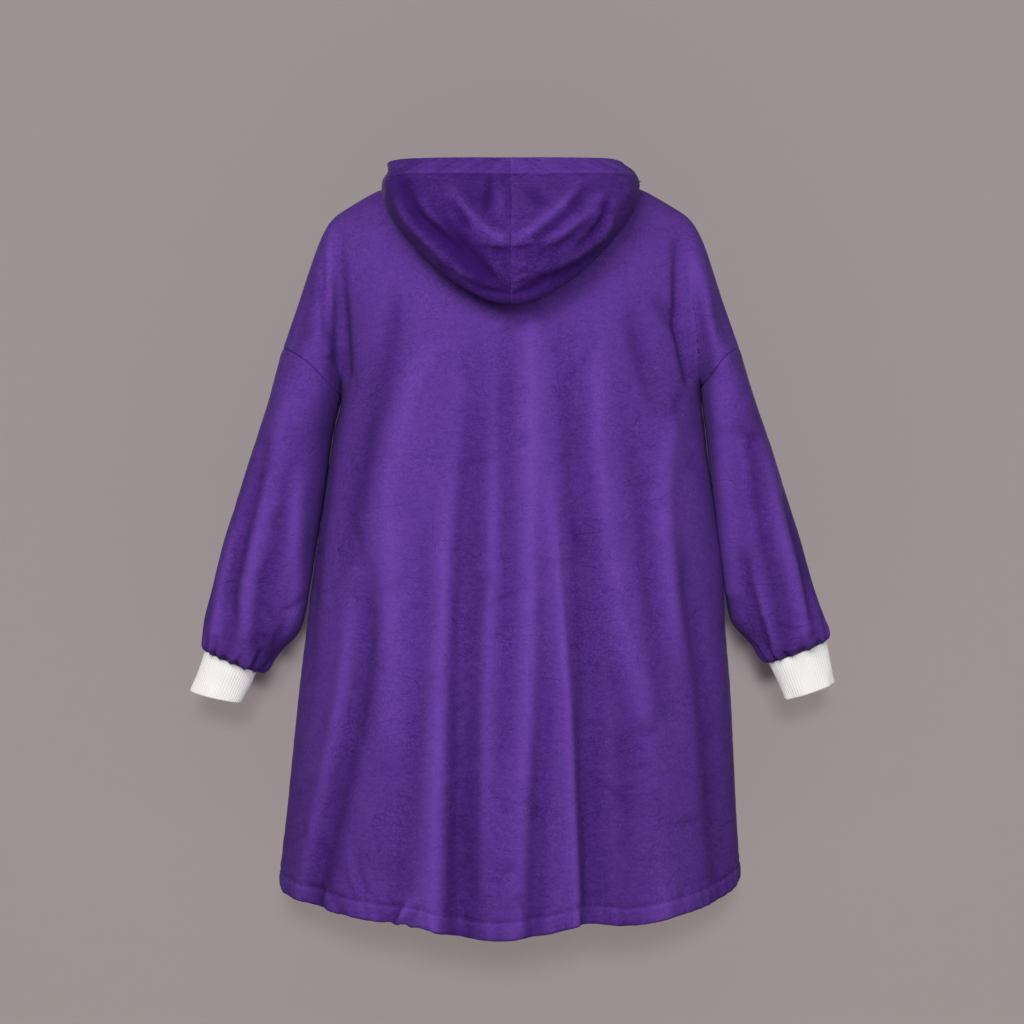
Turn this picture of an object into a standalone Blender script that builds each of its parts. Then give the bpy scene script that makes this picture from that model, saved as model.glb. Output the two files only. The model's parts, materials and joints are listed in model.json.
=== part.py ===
"""Wearable blanket hoodie, filled out as it is when worn, with no wearer in it.

Eight sewn pieces, each a cloth wall: back, front, two sleeves, two rib cuffs and the two halves of a hood
that is down. Neck, hem and cuffs are open and the inside is hollow. Metres, +Z up. The origin is at the
base of the neck, on the shoulder line. The back faces -Y, and +X is the wearer's right. A drop is a
distance below the origin.
"""

import math

import bpy
import numpy as np

# The cloth
FLEECE = 0.0030
RIB = 0.0026
SEAM_GAP = 0.0004
SEAM_STRIP = 0.01
HEM_HEIGHT = 0.021
HEM_RAISE = 0.0012
HEM_STEP_SHARE = 0.004
FIRST_BODY_SHARE = 0.09
HOOD_CASING = 0.026
HOOD_LENGTH = 0.36

# Neckline: half width, depth behind and before the neck, and the drops of its three low points
NECK_HALF_WIDTH = 0.092
NECK_BACK = 0.078
NECK_FRONT = 0.095
NECK_SIDE_DROP = -0.034
NAPE_DROP = -0.010
THROAT_DROP = 0.070
THROAT_CURVE = 2.4
NECK_SPREAD = 0.2
NECK_SHARE = 0.42

# Underarm and shoulder: where the sleeves leave the body
UNDERARM_DROP_MIDDLE = 0.247
SHOULDER_ROUND_FROM = 0.50
ARM_LOBE_HALF_WIDTH = 0.030
ARMHOLE_BEND = 0.006
SEAM_TURN = 0.22
SEAM_REACH = 0.006
SEAM_OVERRUN = 0.06
CREASE_ROUND = 0.014
WIDTH_BLEND_FROM = 0.93
DEPTH_BLEND_FROM = 0.85

LEFT, RIGHT = "left", "right"
BACK, FRONT = "back", "front"
SIGN = {LEFT: -1.0, RIGHT: 1.0}
OUTWARD = {BACK: -1.0, FRONT: 1.0}

# Body tube below the underarms, a row for each height
BODY = {
    "drop": (0.241, 0.304, 0.391, 0.474, 0.549, 0.625, 0.702, 0.778, 0.854, 0.905),
    LEFT: (0.214, 0.224, 0.237, 0.249, 0.2590, 0.2682, 0.2760, 0.2835, 0.2915, 0.2930),
    RIGHT: (0.240, 0.245, 0.257, 0.2665, 0.2715, 0.2775, 0.2815, 0.2850, 0.2895, 0.2915),
    BACK: (0.141, 0.144, 0.150, 0.156, 0.162, 0.168, 0.175, 0.182, 0.189, 0.194),
    FRONT: (0.136, 0.139, 0.145, 0.150, 0.155, 0.159, 0.164, 0.169, 0.175, 0.178),
}

# Depth of the body above the underarms, measured at its middle
CHEST = {
    "drop": (-0.030, 0.030, 0.080, 0.140, 0.200, 0.255),
    BACK: (0.100, 0.114, 0.124, 0.132, 0.138, 0.142),
    FRONT: (0.096, 0.108, 0.119, 0.127, 0.133, 0.137),
}

# The crease between body and arm, from the underarm (share 0) up to the shoulder line (share 1)
CREASE = {
    "share": (0.0, 0.25, 0.50, 0.75, 1.0),
    LEFT: (0.215, 0.215, 0.2165, 0.219, 0.221),
    RIGHT: (0.240, 0.236, 0.229, 0.221, 0.216),
    "height": (0.0, 0.45, 0.66, 0.80, 0.92),
    "arm_depth": (0.078, 0.078, 0.077, 0.073, 0.066),
}

# Shoulder line from the neck over the shoulder and down the outer arm to the armhole seam
SHOULDER = {
    "x": (
        0.092, 0.130, 0.170, 0.1855, 0.2007, 0.2159, 0.2235, 0.2312, 0.2388, 0.2464, 0.2540, 0.2692,
        0.2885,
    ),
    "drop": (
        -0.034, -0.0215, -0.007, 0.0012, 0.0102, 0.0197, 0.0255, 0.0345, 0.0480, 0.0665, 0.0895, 0.1370,
        0.1925,
    ),
}
UNDERARM = {LEFT: (0.215, 0.2525), RIGHT: (0.240, 0.2410)}

# Hem line, a row for each share of the half width from the left side (-1) to the right side (1)
HEM = {
    "share": (-1.0, -0.90, -0.60, -0.36, -0.20, -0.05, 0.15, 0.32, 0.50, 0.70, 0.90, 1.0),
    BACK: (0.871, 0.8745, 0.884, 0.8875, 0.8985, 0.9010, 0.8935, 0.8835, 0.8885, 0.8820, 0.8720, 0.8610),
    FRONT: (0.871, 0.8735, 0.880, 0.8850, 0.8875, 0.8880, 0.8865, 0.8840, 0.8810, 0.8760, 0.8680, 0.8610),
}

# Drape of the body. Each fold runs through three places down the cloth; rise is outward, so a trough is
# negative.
FOLD_FADE = 0.03
FOLDS_STOP_SHARE = 0.88
FOLD_COLUMNS = (
    "x1", "drop1", "x2", "drop2", "x3", "drop3", "half_width1", "half_width3", "rise1", "rise2", "rise3",
)
FOLDS = {
    BACK: (
        (-0.037, 0.19, -0.060, 0.55, -0.066, 0.91, 0.022, 0.026, -0.002, -0.008, -0.019),
        (-0.070, 0.33, -0.084, 0.62, -0.094, 0.91, 0.024, 0.030, 0.001, 0.006, 0.012),
        (0.064, 0.18, 0.096, 0.55, 0.092, 0.91, 0.024, 0.022, -0.002, -0.008, -0.016),
        (0.060, 0.42, 0.080, 0.66, 0.086, 0.91, 0.018, 0.014, 0.001, 0.004, 0.006),
        (-0.143, 0.17, -0.190, 0.36, -0.215, 0.50, 0.024, 0.026, -0.004, -0.008, -0.001),
        (-0.165, 0.46, -0.196, 0.66, -0.240, 0.91, 0.022, 0.028, -0.002, -0.009, -0.014),
        (0.125, 0.18, 0.168, 0.31, 0.190, 0.44, 0.022, 0.024, -0.003, -0.006, -0.001),
        (0.205, 0.43, 0.236, 0.66, 0.256, 0.88, 0.020, 0.024, -0.002, -0.008, -0.010),
        (0.036, 0.70, 0.026, 0.80, 0.020, 0.91, 0.016, 0.018, -0.001, -0.004, -0.007),
    ),
    FRONT: (
        (-0.052, 0.20, -0.074, 0.55, -0.082, 0.90, 0.024, 0.028, -0.002, -0.008, -0.015),
        (0.045, 0.24, 0.055, 0.58, 0.064, 0.90, 0.024, 0.028, -0.002, -0.007, -0.014),
        (-0.004, 0.40, -0.010, 0.64, -0.008, 0.90, 0.022, 0.026, 0.001, 0.004, 0.008),
        (0.130, 0.20, 0.165, 0.50, 0.180, 0.90, 0.024, 0.030, -0.003, -0.008, -0.013),
        (-0.140, 0.22, -0.172, 0.52, -0.192, 0.90, 0.024, 0.030, -0.003, -0.009, -0.014),
        (0.215, 0.46, 0.240, 0.68, 0.254, 0.88, 0.020, 0.024, -0.002, -0.006, -0.009),
    ),
}

# Sleeve edges as seen from behind, from the armhole seam (share 0) to the cuff seam (share 1)
SLEEVE = {
    LEFT: {
        "share": (0.0, 0.17, 0.34, 0.50, 0.66, 0.82, 0.92, 0.975, 1.0),
        "outer_x": (0.2885, 0.3072, 0.3280, 0.3465, 0.3640, 0.3800, 0.3895, 0.3915, 0.3875),
        "outer_drop": (0.1925, 0.2570, 0.3200, 0.3800, 0.4380, 0.5020, 0.5420, 0.5640, 0.5755),
        "inner_x": (0.2150, 0.2290, 0.2375, 0.2470, 0.2560, 0.2667, 0.2975, 0.3135, 0.3230),
        "inner_drop": (0.2525, 0.3120, 0.3750, 0.4350, 0.4920, 0.5460, 0.5820, 0.6010, 0.6020),
        "depth": (0.0780, 0.0770, 0.0735, 0.0685, 0.0620, 0.0545, 0.0480, 0.0400, 0.0240),
    },
    RIGHT: {
        "share": (0.0, 0.17, 0.34, 0.50, 0.66, 0.82, 0.92, 0.975, 1.0),
        "outer_x": (0.2885, 0.3086, 0.3295, 0.3490, 0.3672, 0.3843, 0.3965, 0.4015, 0.4000),
        "outer_drop": (0.1925, 0.2570, 0.3170, 0.3770, 0.4370, 0.4970, 0.5340, 0.5530, 0.5630),
        "inner_x": (0.2400, 0.2490, 0.2565, 0.2645, 0.2715, 0.2785, 0.3050, 0.3190, 0.3285),
        "inner_drop": (0.2410, 0.3020, 0.3640, 0.4230, 0.4790, 0.5330, 0.5680, 0.5860, 0.5905),
        "depth": (0.0780, 0.0770, 0.0735, 0.0685, 0.0620, 0.0545, 0.0480, 0.0400, 0.0240),
    },
}
CUFF_END = {LEFT: ((0.4065, 0.6255), (0.3425, 0.6405)), RIGHT: ((0.4110, 0.6150), (0.3480, 0.6365))}
CUFF_DEPTH = 0.0215
CUFF_WAIST = 0.05
CUFF_GAP = 0.001
GATHERS = 11
GATHER_DEPTH = 0.0022
GATHER_SHARES = (0.84, 0.98)
GATHER_PRESSED = 0.7
ARMHOLE_BLEND = 0.22
SLEEVE_END_SHARES = (0.86, 0.92, 0.965, 0.99, 1.0)

# Long folds of a sleeve: the angle round it from the outer edge over the back, half width in degrees,
# and rise
SLEEVE_FOLD_FADE = 0.2
SLEEVE_FOLD_COLUMNS = ("angle1", "angle2", "half_width", "from_share", "to_share", "rise")
SLEEVE_FOLDS = {
    LEFT: (
        (70, 48, 15, 0.05, 1.05, -0.0045),
        (112, 88, 15, 0.20, 1.00, -0.0040),
        (92, 68, 12, 0.10, 0.95, 0.0025),
        (150, 128, 14, 0.45, 1.05, -0.0030),
        (250, 262, 18, 0.05, 1.00, -0.0045),
        (300, 306, 16, 0.30, 1.05, -0.0035),
    ),
    RIGHT: (
        (78, 62, 14, 0.05, 1.05, -0.0040),
        (122, 108, 15, 0.10, 1.00, -0.0045),
        (98, 84, 12, 0.15, 1.00, 0.0028),
        (40, 34, 12, 0.40, 1.05, -0.0030),
        (246, 258, 18, 0.05, 1.00, -0.0045),
        (296, 302, 16, 0.30, 1.05, -0.0035),
    ),
}

# Sections of a hood half from the throat (turn 0) to the nape (turn 180). The cloth leaves the neckline,
# lies on the shoulder or back, turns up at its lowest place, bulges and ends at the rim of the face
# opening.
HOOD = {
    "turn": (0, 30, 60, 90, 120, 150, 180),
    "lying": (
        (0.003, 0.102, -0.066), (0.062, 0.098, -0.044), (0.103, 0.061, 0.010), (0.126, -0.004, 0.030),
        (0.106, -0.080, -0.012), (0.056, -0.120, -0.056), (0.0, -0.128, -0.076),
    ),
    "lowest": (
        (0.005, 0.108, -0.062), (0.078, 0.108, -0.064), (0.132, 0.074, -0.020), (0.163, -0.010, 0.0155),
        (0.138, -0.108, -0.050), (0.074, -0.160, -0.122), (0.0, -0.176, -0.155),
    ),
    "bulge": (
        (0.007, 0.112, -0.055), (0.080, 0.113, -0.046), (0.135, 0.068, 0.001), (0.157, -0.014, 0.0220),
        (0.148, -0.126, -0.012), (0.086, -0.192, -0.058), (0.0, -0.210, -0.080),
    ),
    "rim": (
        (0.008, 0.113, -0.046), (0.066, 0.104, -0.024), (0.117, 0.050, 0.022), (0.145, -0.022, 0.0330),
        (0.131, -0.100, 0.0300), (0.078, -0.136, 0.0260), (0.0, -0.142, 0.0250),
    ),
}
HOOD_SEAM_GAP = 0.0009
HOOD_CLEARANCE = 0.0045
THROAT_GAP = 0.0035
CLEARING_PASSES = 4
CLEARING_REACH = 0.03
CLEARING_GRID = (24, 30, 30, 24, 24)
CLEARING_LOWEST_DROP = 0.26
HOOD_FIRST_SHARES = (0.0, 0.012)
HOOD_REST_FROM = 0.04
HOOD_CASING_STEP = 0.006
NECK_BLEND = 0.15

# How finely each piece is cut up
NECK_COLUMNS = 9
SIDE_COLUMNS = 12
BODY_ROWS = 10
YOKE_ROWS_LOW = 4
YOKE_ROWS_ROUND = 6
SLEEVE_RINGS = 10
CUFF_RINGS = 3
HOOD_ROWS = 13


def through(places, values, at):
    """A smooth curve through a table's rows that never overshoots them, read at any places."""
    x = np.asarray(places, float)
    y = np.asarray(values, float)
    at = np.asarray(at, float)
    step = np.diff(x)
    slope = np.diff(y) / step
    tangent = np.zeros_like(y)
    rising = slope[:-1] * slope[1:] > 0
    mean = 2 * slope[:-1] * slope[1:] / np.where(rising, slope[:-1] + slope[1:], 1)
    tangent[1:-1] = np.where(rising, mean, 0)
    tangent[0] = slope[0]
    tangent[-1] = slope[-1]
    i = np.clip(np.searchsorted(x, at) - 1, 0, len(step) - 1)
    t = (at - x[i]) / step[i]
    low = (1 + 2 * t) * (1 - t) ** 2 * y[i] + t * (1 - t) ** 2 * step[i] * tangent[i]
    high = t * t * (3 - 2 * t) * y[i + 1] + t * t * (t - 1) * step[i] * tangent[i + 1]
    return low + high


def spline(rows, at):
    """A round curve through evenly spaced rows of points, read at shares from 0 to 1. The ends are given
    twice.
    """
    rows = np.asarray(rows, float)
    count = rows.shape[0] - 3
    place = np.clip(np.asarray(at, float) * count, 0, count - 1e-9)
    i = place.astype(int)
    t = (place - i).reshape(-1, *([1] * (rows.ndim - 1)))
    a, b, c, d = (rows[i + k] for k in range(4))
    return 0.5 * (2 * b + (c - a) * t + (2 * a - 5 * b + 4 * c - d) * t**2 + (3 * b - a - 3 * c + d) * t**3)


def smoothstep(low, high, at):
    t = np.clip((at - low) / (high - low), 0, 1)
    return t * t * (3 - 2 * t)


def normals_of(points, closed=False):
    """Unit normals of a grid of points, rows along its first axis. A closed grid joins its last column to
    its first.
    """
    if closed:
        padded = np.concatenate([points[:, -1:], points, points[:, :1]], axis=1)
        across = np.gradient(padded, axis=1)[:, 1:-1]
    else:
        across = np.gradient(points, axis=1)
    normal = np.cross(across, np.gradient(points, axis=0))
    return normal / np.maximum(np.linalg.norm(normal, axis=2, keepdims=True), 1e-12)


def neckline(turn):
    """The neckline at angles in degrees from the throat (0) over the side (90) to the nape (180)."""
    angle = np.radians(turn)
    forward = np.cos(angle)
    depth = np.where(forward > 0, NECK_FRONT, NECK_BACK) * forward
    low = (THROAT_DROP - NECK_SIDE_DROP) * np.clip(forward, 0, 1) ** THROAT_CURVE
    low += (NAPE_DROP - NECK_SIDE_DROP) * np.clip(-forward, 0, 1) ** 2
    return NECK_HALF_WIDTH * np.sin(angle), depth, NECK_SIDE_DROP + low


def top_edge(face, across):
    """Top edge of a body panel on one side: the neckline to NECK_SHARE of the way across, then the shoulder
    line.
    """
    within = np.clip(across / NECK_SHARE, 0, 1)
    turn = 180 - 90 * within if face == BACK else 90 * within
    neck_x, neck_y, neck_drop = neckline(turn)
    x = np.asarray(SHOULDER["x"])
    drop = np.asarray(SHOULDER["drop"])
    length = np.concatenate([[0], np.cumsum(np.hypot(np.diff(x), np.diff(drop)))])
    along = np.clip((across - NECK_SHARE) / (1 - NECK_SHARE), 0, 1) * length[-1]
    on_shoulder = across > NECK_SHARE
    edge_x = np.where(on_shoulder, through(length, x, along), neck_x)
    edge_drop = np.where(on_shoulder, through(length, drop, along), neck_drop)
    return edge_x, np.where(on_shoulder, 0, np.abs(neck_y)), edge_drop


def arm_and_body_depth(face, side, x, drop, share):
    """Depth of the body and the arm lobe beside it: two rounded forms that meet in the crease."""
    crease = through(CREASE["share"], CREASE[side], share)
    arm_depth = through(CREASE["share"], CREASE["arm_depth"], share)
    height = through(CREASE["share"], CREASE["height"], share)
    chest = through(CHEST["drop"], CHEST[face], drop)
    meet = height * arm_depth
    body_reach = crease / np.sqrt(1 - (meet / chest) ** 2)
    arm_reach = ARM_LOBE_HALF_WIDTH / np.sqrt(1 - height**2)
    body = chest * np.sqrt(np.clip(1 - (x / body_reach) ** 2, 0, 1))
    inside = np.clip(crease + ARM_LOBE_HALF_WIDTH - x, 0, None)
    arm = arm_depth * np.sqrt(np.clip(1 - (inside / arm_reach) ** 2, 0, 1))
    arm = np.where(inside < arm_reach, arm, -CREASE_ROUND)
    soft = CREASE_ROUND * smoothstep(0, 0.3, share)
    return np.where(share < 1e-6, body, 0.5 * (body + arm + np.sqrt((body - arm) ** 2 + soft**2)))


def yoke_plane(face, side, across, share):
    """Where a place of the yoke lies as seen from behind: a patch between its four edges."""
    under_x, under_drop = UNDERARM[side]
    low_x = under_x * np.sin(across * math.pi / 2)
    low_drop = UNDERARM_DROP_MIDDLE + (under_drop - UNDERARM_DROP_MIDDLE) * across**2
    top_x, _, top_drop = top_edge(face, across)
    end_x, _, end_drop = top_edge(face, np.array(1.0))
    middle_drop = NAPE_DROP if face == BACK else THROAT_DROP
    bend = ARMHOLE_BEND * np.sin(share * math.pi)
    seam_x = under_x + (end_x - under_x) * share - 0.5 * bend
    seam_drop = under_drop + (end_drop - under_drop) * share - bend
    centre_drop = UNDERARM_DROP_MIDDLE + (middle_drop - UNDERARM_DROP_MIDDLE) * share
    x = (1 - share) * low_x + share * top_x + across * seam_x
    x -= across * ((1 - share) * under_x + share * end_x)
    drop = (1 - share) * low_drop + share * top_drop + (1 - across) * centre_drop + across * seam_drop
    drop -= (1 - across) * ((1 - share) * UNDERARM_DROP_MIDDLE + share * middle_drop)
    drop -= across * ((1 - share) * under_drop + share * end_drop)
    return x, drop


def seam_away(side):
    """Direction, across and down, that leaves the body square to the armhole seam."""
    top_x, _, top_drop = top_edge(BACK, np.array(1.0))
    across, down = UNDERARM[side][1] - top_drop, top_x - UNDERARM[side][0]
    return np.array([across, down]) / math.hypot(across, down)


def yoke(face, side, across, share):
    """Body panel above the underarm on one side. Its cross lines turn square to the armhole seam as they
    reach it.
    """
    x, drop = yoke_plane(face, side, across, share)
    step = 0.001
    edge_x, edge_drop = yoke_plane(face, side, np.array(1.0), share)
    before_x, before_drop = yoke_plane(face, side, np.array(1 - step), share)
    tangent_x, tangent_drop = (edge_x - before_x) / step, (edge_drop - before_drop) / step
    speed = np.hypot(tangent_x, tangent_drop)
    away = seam_away(side)
    back = 1 - across
    turn = back * np.clip(1 - back / SEAM_TURN, 0, 1) ** 2
    turn = turn * smoothstep(0, 0.12, share) * (1 - smoothstep(0.85, 1, share))
    x = x - turn * (away[0] * speed - tangent_x)
    drop = drop - turn * (away[1] * speed - tangent_drop)
    top_x, top_y, _ = top_edge(face, across)
    rounding = np.clip((share - SHOULDER_ROUND_FROM) / (1 - SHOULDER_ROUND_FROM), 0, 1)
    middle_x = yoke_plane(face, side, across, np.array(SHOULDER_ROUND_FROM))[0]
    spread = (middle_x - top_x) * (np.sqrt(1 - rounding**2) - (1 - rounding))
    x = x + spread * (rounding > 0) * (1 - smoothstep(NECK_SHARE, NECK_SHARE + NECK_SPREAD, across))
    full = arm_and_body_depth(face, side, x, drop, share)
    depth = top_y + (full - top_y) * np.sqrt(1 - rounding**2)
    return x, depth, drop


def tube(face, side, across, share):
    """Body panel below the underarm on one side, from the hem (share 0) up to the underarm row (share 1)."""
    angle = across * math.pi / 2
    sideways = SIGN[side] * np.sin(angle)
    hem = through(HEM["share"], HEM[face], sideways)
    top = UNDERARM_DROP_MIDDLE + (UNDERARM[side][1] - UNDERARM_DROP_MIDDLE) * across**2
    drop = hem + (top - hem) * share
    half_width = through(BODY["drop"], BODY[side], drop)
    half_width += (UNDERARM[side][0] - half_width) * smoothstep(WIDTH_BLEND_FROM, 1, share)
    depth = through(BODY["drop"], BODY[face], drop)
    depth += (through(CHEST["drop"], CHEST[face], drop) - depth) * smoothstep(DEPTH_BLEND_FROM, 1, share)
    return half_width * np.sin(angle), depth * np.cos(angle), drop


def drape(face, x, drop):
    """How far the folds of a body panel lift or sink its cloth."""
    rise = np.zeros_like(x)
    for row in FOLDS[face]:
        fold = dict(zip(FOLD_COLUMNS, row))
        drops = (fold["drop1"], fold["drop2"], fold["drop3"])
        at = np.clip(drop, drops[0], drops[2])
        middle = through(drops, (fold["x1"], fold["x2"], fold["x3"]), at)
        height = through(drops, (fold["rise1"], fold["rise2"], fold["rise3"]), at)
        width = np.interp(at, (drops[0], drops[2]), (fold["half_width1"], fold["half_width3"]))
        fade = np.exp(-(((drop - at) / FOLD_FADE) ** 2))
        rise += height * fade * np.exp(-(((x - middle) / width) ** 2))
    return rise


def near_end(count):
    """Even steps from 0 to 1 with one more just before the end, which keeps a wall square to its seam."""
    return np.concatenate([np.linspace(0, 1, count + 1)[:-1], [1 - SEAM_STRIP, 1]])


def yoke_shares(low_rows, steps):
    """Rows of a body panel above the underarm: even ones, then closer ones where the shoulder rounds over."""
    low_share = np.linspace(0, SHOULDER_ROUND_FROM, low_rows + 1)
    curve = steps[1:] * math.pi / 2
    return np.concatenate([low_share, SHOULDER_ROUND_FROM + (1 - SHOULDER_ROUND_FROM) * np.sin(curve)])


def body_panel(face, neck_columns, side_columns, tube_rows, low_rows, round_rows):
    """Outer points of the back or the front, rows from the hem up and columns from left to right."""
    hem_share = HEM_HEIGHT / (BODY["drop"][-1] - BODY["drop"][0])
    hem_rows = [0, hem_share - HEM_STEP_SHARE, hem_share]
    tube_share = np.concatenate([hem_rows, np.linspace(FIRST_BODY_SHARE, 1, tube_rows)])
    yoke_share = yoke_shares(low_rows, near_end(round_rows))[1:]
    beside = NECK_SHARE + (1 - NECK_SHARE) * near_end(side_columns)
    across = np.concatenate([np.linspace(0, NECK_SHARE, neck_columns + 1)[:-1], beside])
    halves = {}
    for side in (LEFT, RIGHT):
        below = np.stack(tube(face, side, across, tube_share[:, None]), axis=2)
        above = np.stack(yoke(face, side, across, yoke_share[:, None]), axis=2)
        half = np.concatenate([below, above])
        halves[side] = half * (SIGN[side], OUTWARD[face], -1)
    points = np.concatenate([halves[LEFT][:, :0:-1], halves[RIGHT]], axis=1)
    points[..., 1] += OUTWARD[face] * SEAM_GAP / 2
    normal = normals_of(points) * -OUTWARD[face]
    rise = drape(face, points[..., 0], -points[..., 2])
    from_middle = np.concatenate([across[:0:-1], across])
    rise *= 1 - smoothstep(FOLDS_STOP_SHARE, 1 - SEAM_STRIP, from_middle)
    hem_band = np.zeros_like(rise)
    hem_band[:2] = HEM_RAISE
    return points + normal * (rise + hem_band)[..., None]


def round_the_arm(low_rows, round_rows):
    """Angles round the arm from its outer edge (0) over the back (90) to the underarm (180), at the yoke's
    rows.
    """
    share = yoke_shares(low_rows, np.linspace(0, 1, round_rows + 1))
    half_turn = np.arccos(2 * share[::-1] - 1)
    return np.concatenate([half_turn, 2 * math.pi - half_turn[-2:0:-1]])


def armhole(side, angle):
    """Armhole seam round the arm, one seam gap outside the body panels' edge."""
    share = (1 + np.cos(angle)) / 2
    one = np.ones_like(share)
    x, back, drop = yoke(BACK, side, one, share)
    front = yoke(FRONT, side, one, share)[1]
    depth = np.where(np.sin(angle) >= 0, -back, front)
    away = SEAM_GAP * seam_away(side)
    return np.stack([SIGN[side] * (x + away[0]), depth, -drop - away[1]], axis=-1)


def sleeve_ring_frame(side, share):
    """Outer edge, inner edge and half depth of a sleeve, at shares from its armhole to its cuff seam."""
    table = SLEEVE[side]
    outer = [through(table["share"], table[name], share) for name in ("outer_x", "outer_drop")]
    inner = [through(table["share"], table[name], share) for name in ("inner_x", "inner_drop")]
    return outer, inner, through(table["share"], table["depth"], share)


def sleeve(side, rings, angle):
    """Outer points of a sleeve: rings from the armhole seam down to the cuff seam, with its long folds and
    gathers.
    """
    upper = np.linspace(0, SLEEVE_END_SHARES[0], rings)[:-1]
    share = np.concatenate([upper, SLEEVE_END_SHARES])[:, None]
    angle = angle[None, :]
    (outer_x, outer_drop), (inner_x, inner_drop), depth = sleeve_ring_frame(side, share)
    swing = (1 + np.cos(angle)) / 2
    x = inner_x + (outer_x - inner_x) * swing
    drop = inner_drop + (outer_drop - inner_drop) * swing
    ring = np.stack([SIGN[side] * x, -depth * np.sin(angle), -drop], axis=2)
    seam = armhole(side, angle[0])[None]
    blend = (1 - smoothstep(0, ARMHOLE_BLEND, share))[..., None]
    points = ring * (1 - blend) + (seam - ring[:1] + ring) * blend
    rise = np.zeros_like(x)
    degrees = np.degrees(angle)
    for row in SLEEVE_FOLDS[side]:
        fold = dict(zip(SLEEVE_FOLD_COLUMNS, row))
        middle = fold["angle1"] + (fold["angle2"] - fold["angle1"]) * share
        away = (degrees - middle + 180) % 360 - 180
        fade = smoothstep(fold["from_share"], fold["from_share"] + SLEEVE_FOLD_FADE, share)
        fade = fade * (1 - smoothstep(fold["to_share"] - SLEEVE_FOLD_FADE, fold["to_share"], share))
        rise += fold["rise"] * fade * np.exp(-((away / fold["half_width"]) ** 2))
    gathered = smoothstep(*GATHER_SHARES, share) * (1 - GATHER_PRESSED * smoothstep(GATHER_SHARES[1], 1, share))
    rise += GATHER_DEPTH * gathered * np.cos(GATHERS * angle + SIGN[side])
    return points + outward_of(points, side) * rise[..., None]


def outward_of(points, side):
    """Normals of a ring-by-ring tube that runs downwards, turned to its outside."""
    return normals_of(points, closed=True) * SIGN[side]


def cuff(side, rings, angle):
    """Outer points of a cuff: a slightly tapered tube of rib knit, from the sleeve's end to the open hand
    edge.
    """
    share = np.linspace(0, 1, rings + 1)[:, None]
    angle = angle[None, :]
    (outer_x, outer_drop), (inner_x, inner_drop), depth = sleeve_ring_frame(side, np.array(1.0))
    (end_outer_x, end_outer_drop), (end_inner_x, end_inner_drop) = CUFF_END[side]
    swing = (1 + np.cos(angle)) / 2
    start_x = inner_x + (outer_x - inner_x) * swing
    start_drop = inner_drop + (outer_drop - inner_drop) * swing
    end_x = end_inner_x + (end_outer_x - end_inner_x) * swing
    end_drop = end_inner_drop + (end_outer_drop - end_inner_drop) * swing
    x = start_x + (end_x - start_x) * share
    drop = start_drop + (end_drop - start_drop) * share
    half_depth = depth + (CUFF_DEPTH - depth) * share
    waist = 1 - CUFF_WAIST * np.sin(share * math.pi)
    return np.stack([SIGN[side] * x, -half_depth * waist * np.sin(angle), -drop - CUFF_GAP], axis=2)


def clear_of(points, panel, gap):
    """Moves points under or too near a panel's outer face out to the gap, along the panel's normal."""
    flat = points.reshape(-1, 3)
    cloth, normal = panel
    near = np.argmin(((flat[:, None] - cloth[None]) ** 2).sum(axis=2), axis=1)
    height = ((flat - cloth[near]) * normal[near]).sum(axis=1)
    close = np.linalg.norm(flat - cloth[near], axis=1) < CLEARING_REACH
    gap = np.broadcast_to(gap, points.shape[:2]).reshape(-1)
    lift = np.where(close, np.clip(gap - height, 0, None), 0)
    return (flat + normal[near] * lift[:, None]).reshape(points.shape)


def panel_cloth(face):
    """A fine set of a panel's outer points and normals near the neck and shoulders, for what lies on it."""
    points = body_panel(face, *CLEARING_GRID)
    normal = normals_of(points) * -OUTWARD[face]
    top = points[..., 2] > -CLEARING_LOWEST_DROP
    return points[top], normal[top]


def hood_half(side, columns, rows):
    """Outer points of a hood half: columns from throat to nape, rows from the neckline over the fold."""
    turn = np.asarray(HOOD["turn"], float)
    neck = np.stack(neckline(turn), axis=1) * (1, 1, -1)
    rails = np.stack([neck] + [np.asarray(HOOD[name]) for name in ("lying", "lowest", "bulge", "rim")])
    mirror = (-1, 1, 1)
    rails = np.concatenate([rails[:, 1:2] * mirror, rails, rails[:, -2:-1] * mirror], axis=1)
    share = near_end(columns)
    sections = spline(rails.transpose(1, 0, 2), share)
    sections = sections.transpose(1, 0, 2)
    ends = np.concatenate([sections[:1], sections, sections[-1:]])
    casing = 1 - HOOD_CASING / HOOD_LENGTH
    even = np.linspace(HOOD_REST_FROM, casing, rows)
    length_share = np.concatenate([HOOD_FIRST_SHARES, even, [casing + HOOD_CASING_STEP, 1]])
    points = spline(ends, length_share)
    exact = np.stack(neckline(share * 180), axis=1) * (1, 1, -1)
    points += (exact - points[0])[None] * (1 - smoothstep(0, NECK_BLEND, length_share))[:, None, None]
    points[..., 0] *= SIGN[side]
    gap = np.where(length_share > 0, HOOD_CLEARANCE, HOOD_SEAM_GAP)[:, None]
    panels = [panel_cloth(face) for face in (BACK, FRONT)]
    for panel in panels * CLEARING_PASSES:
        points = clear_of(points, panel, gap)
    least = np.where(share < 0.5, THROAT_GAP, SEAM_GAP)
    points[..., 0] = np.maximum(points[..., 0] * SIGN[side], least) * SIGN[side]
    return points


def material(name, colour, roughness):
    made = bpy.data.materials.new(name)
    made.use_nodes = True
    shader = made.node_tree.nodes["Principled BSDF"]
    shader.inputs["Base Color"].default_value = (*colour, 1.0)
    shader.inputs["Roughness"].default_value = roughness
    shader.inputs["Metallic"].default_value = 0.0
    return made


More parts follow.
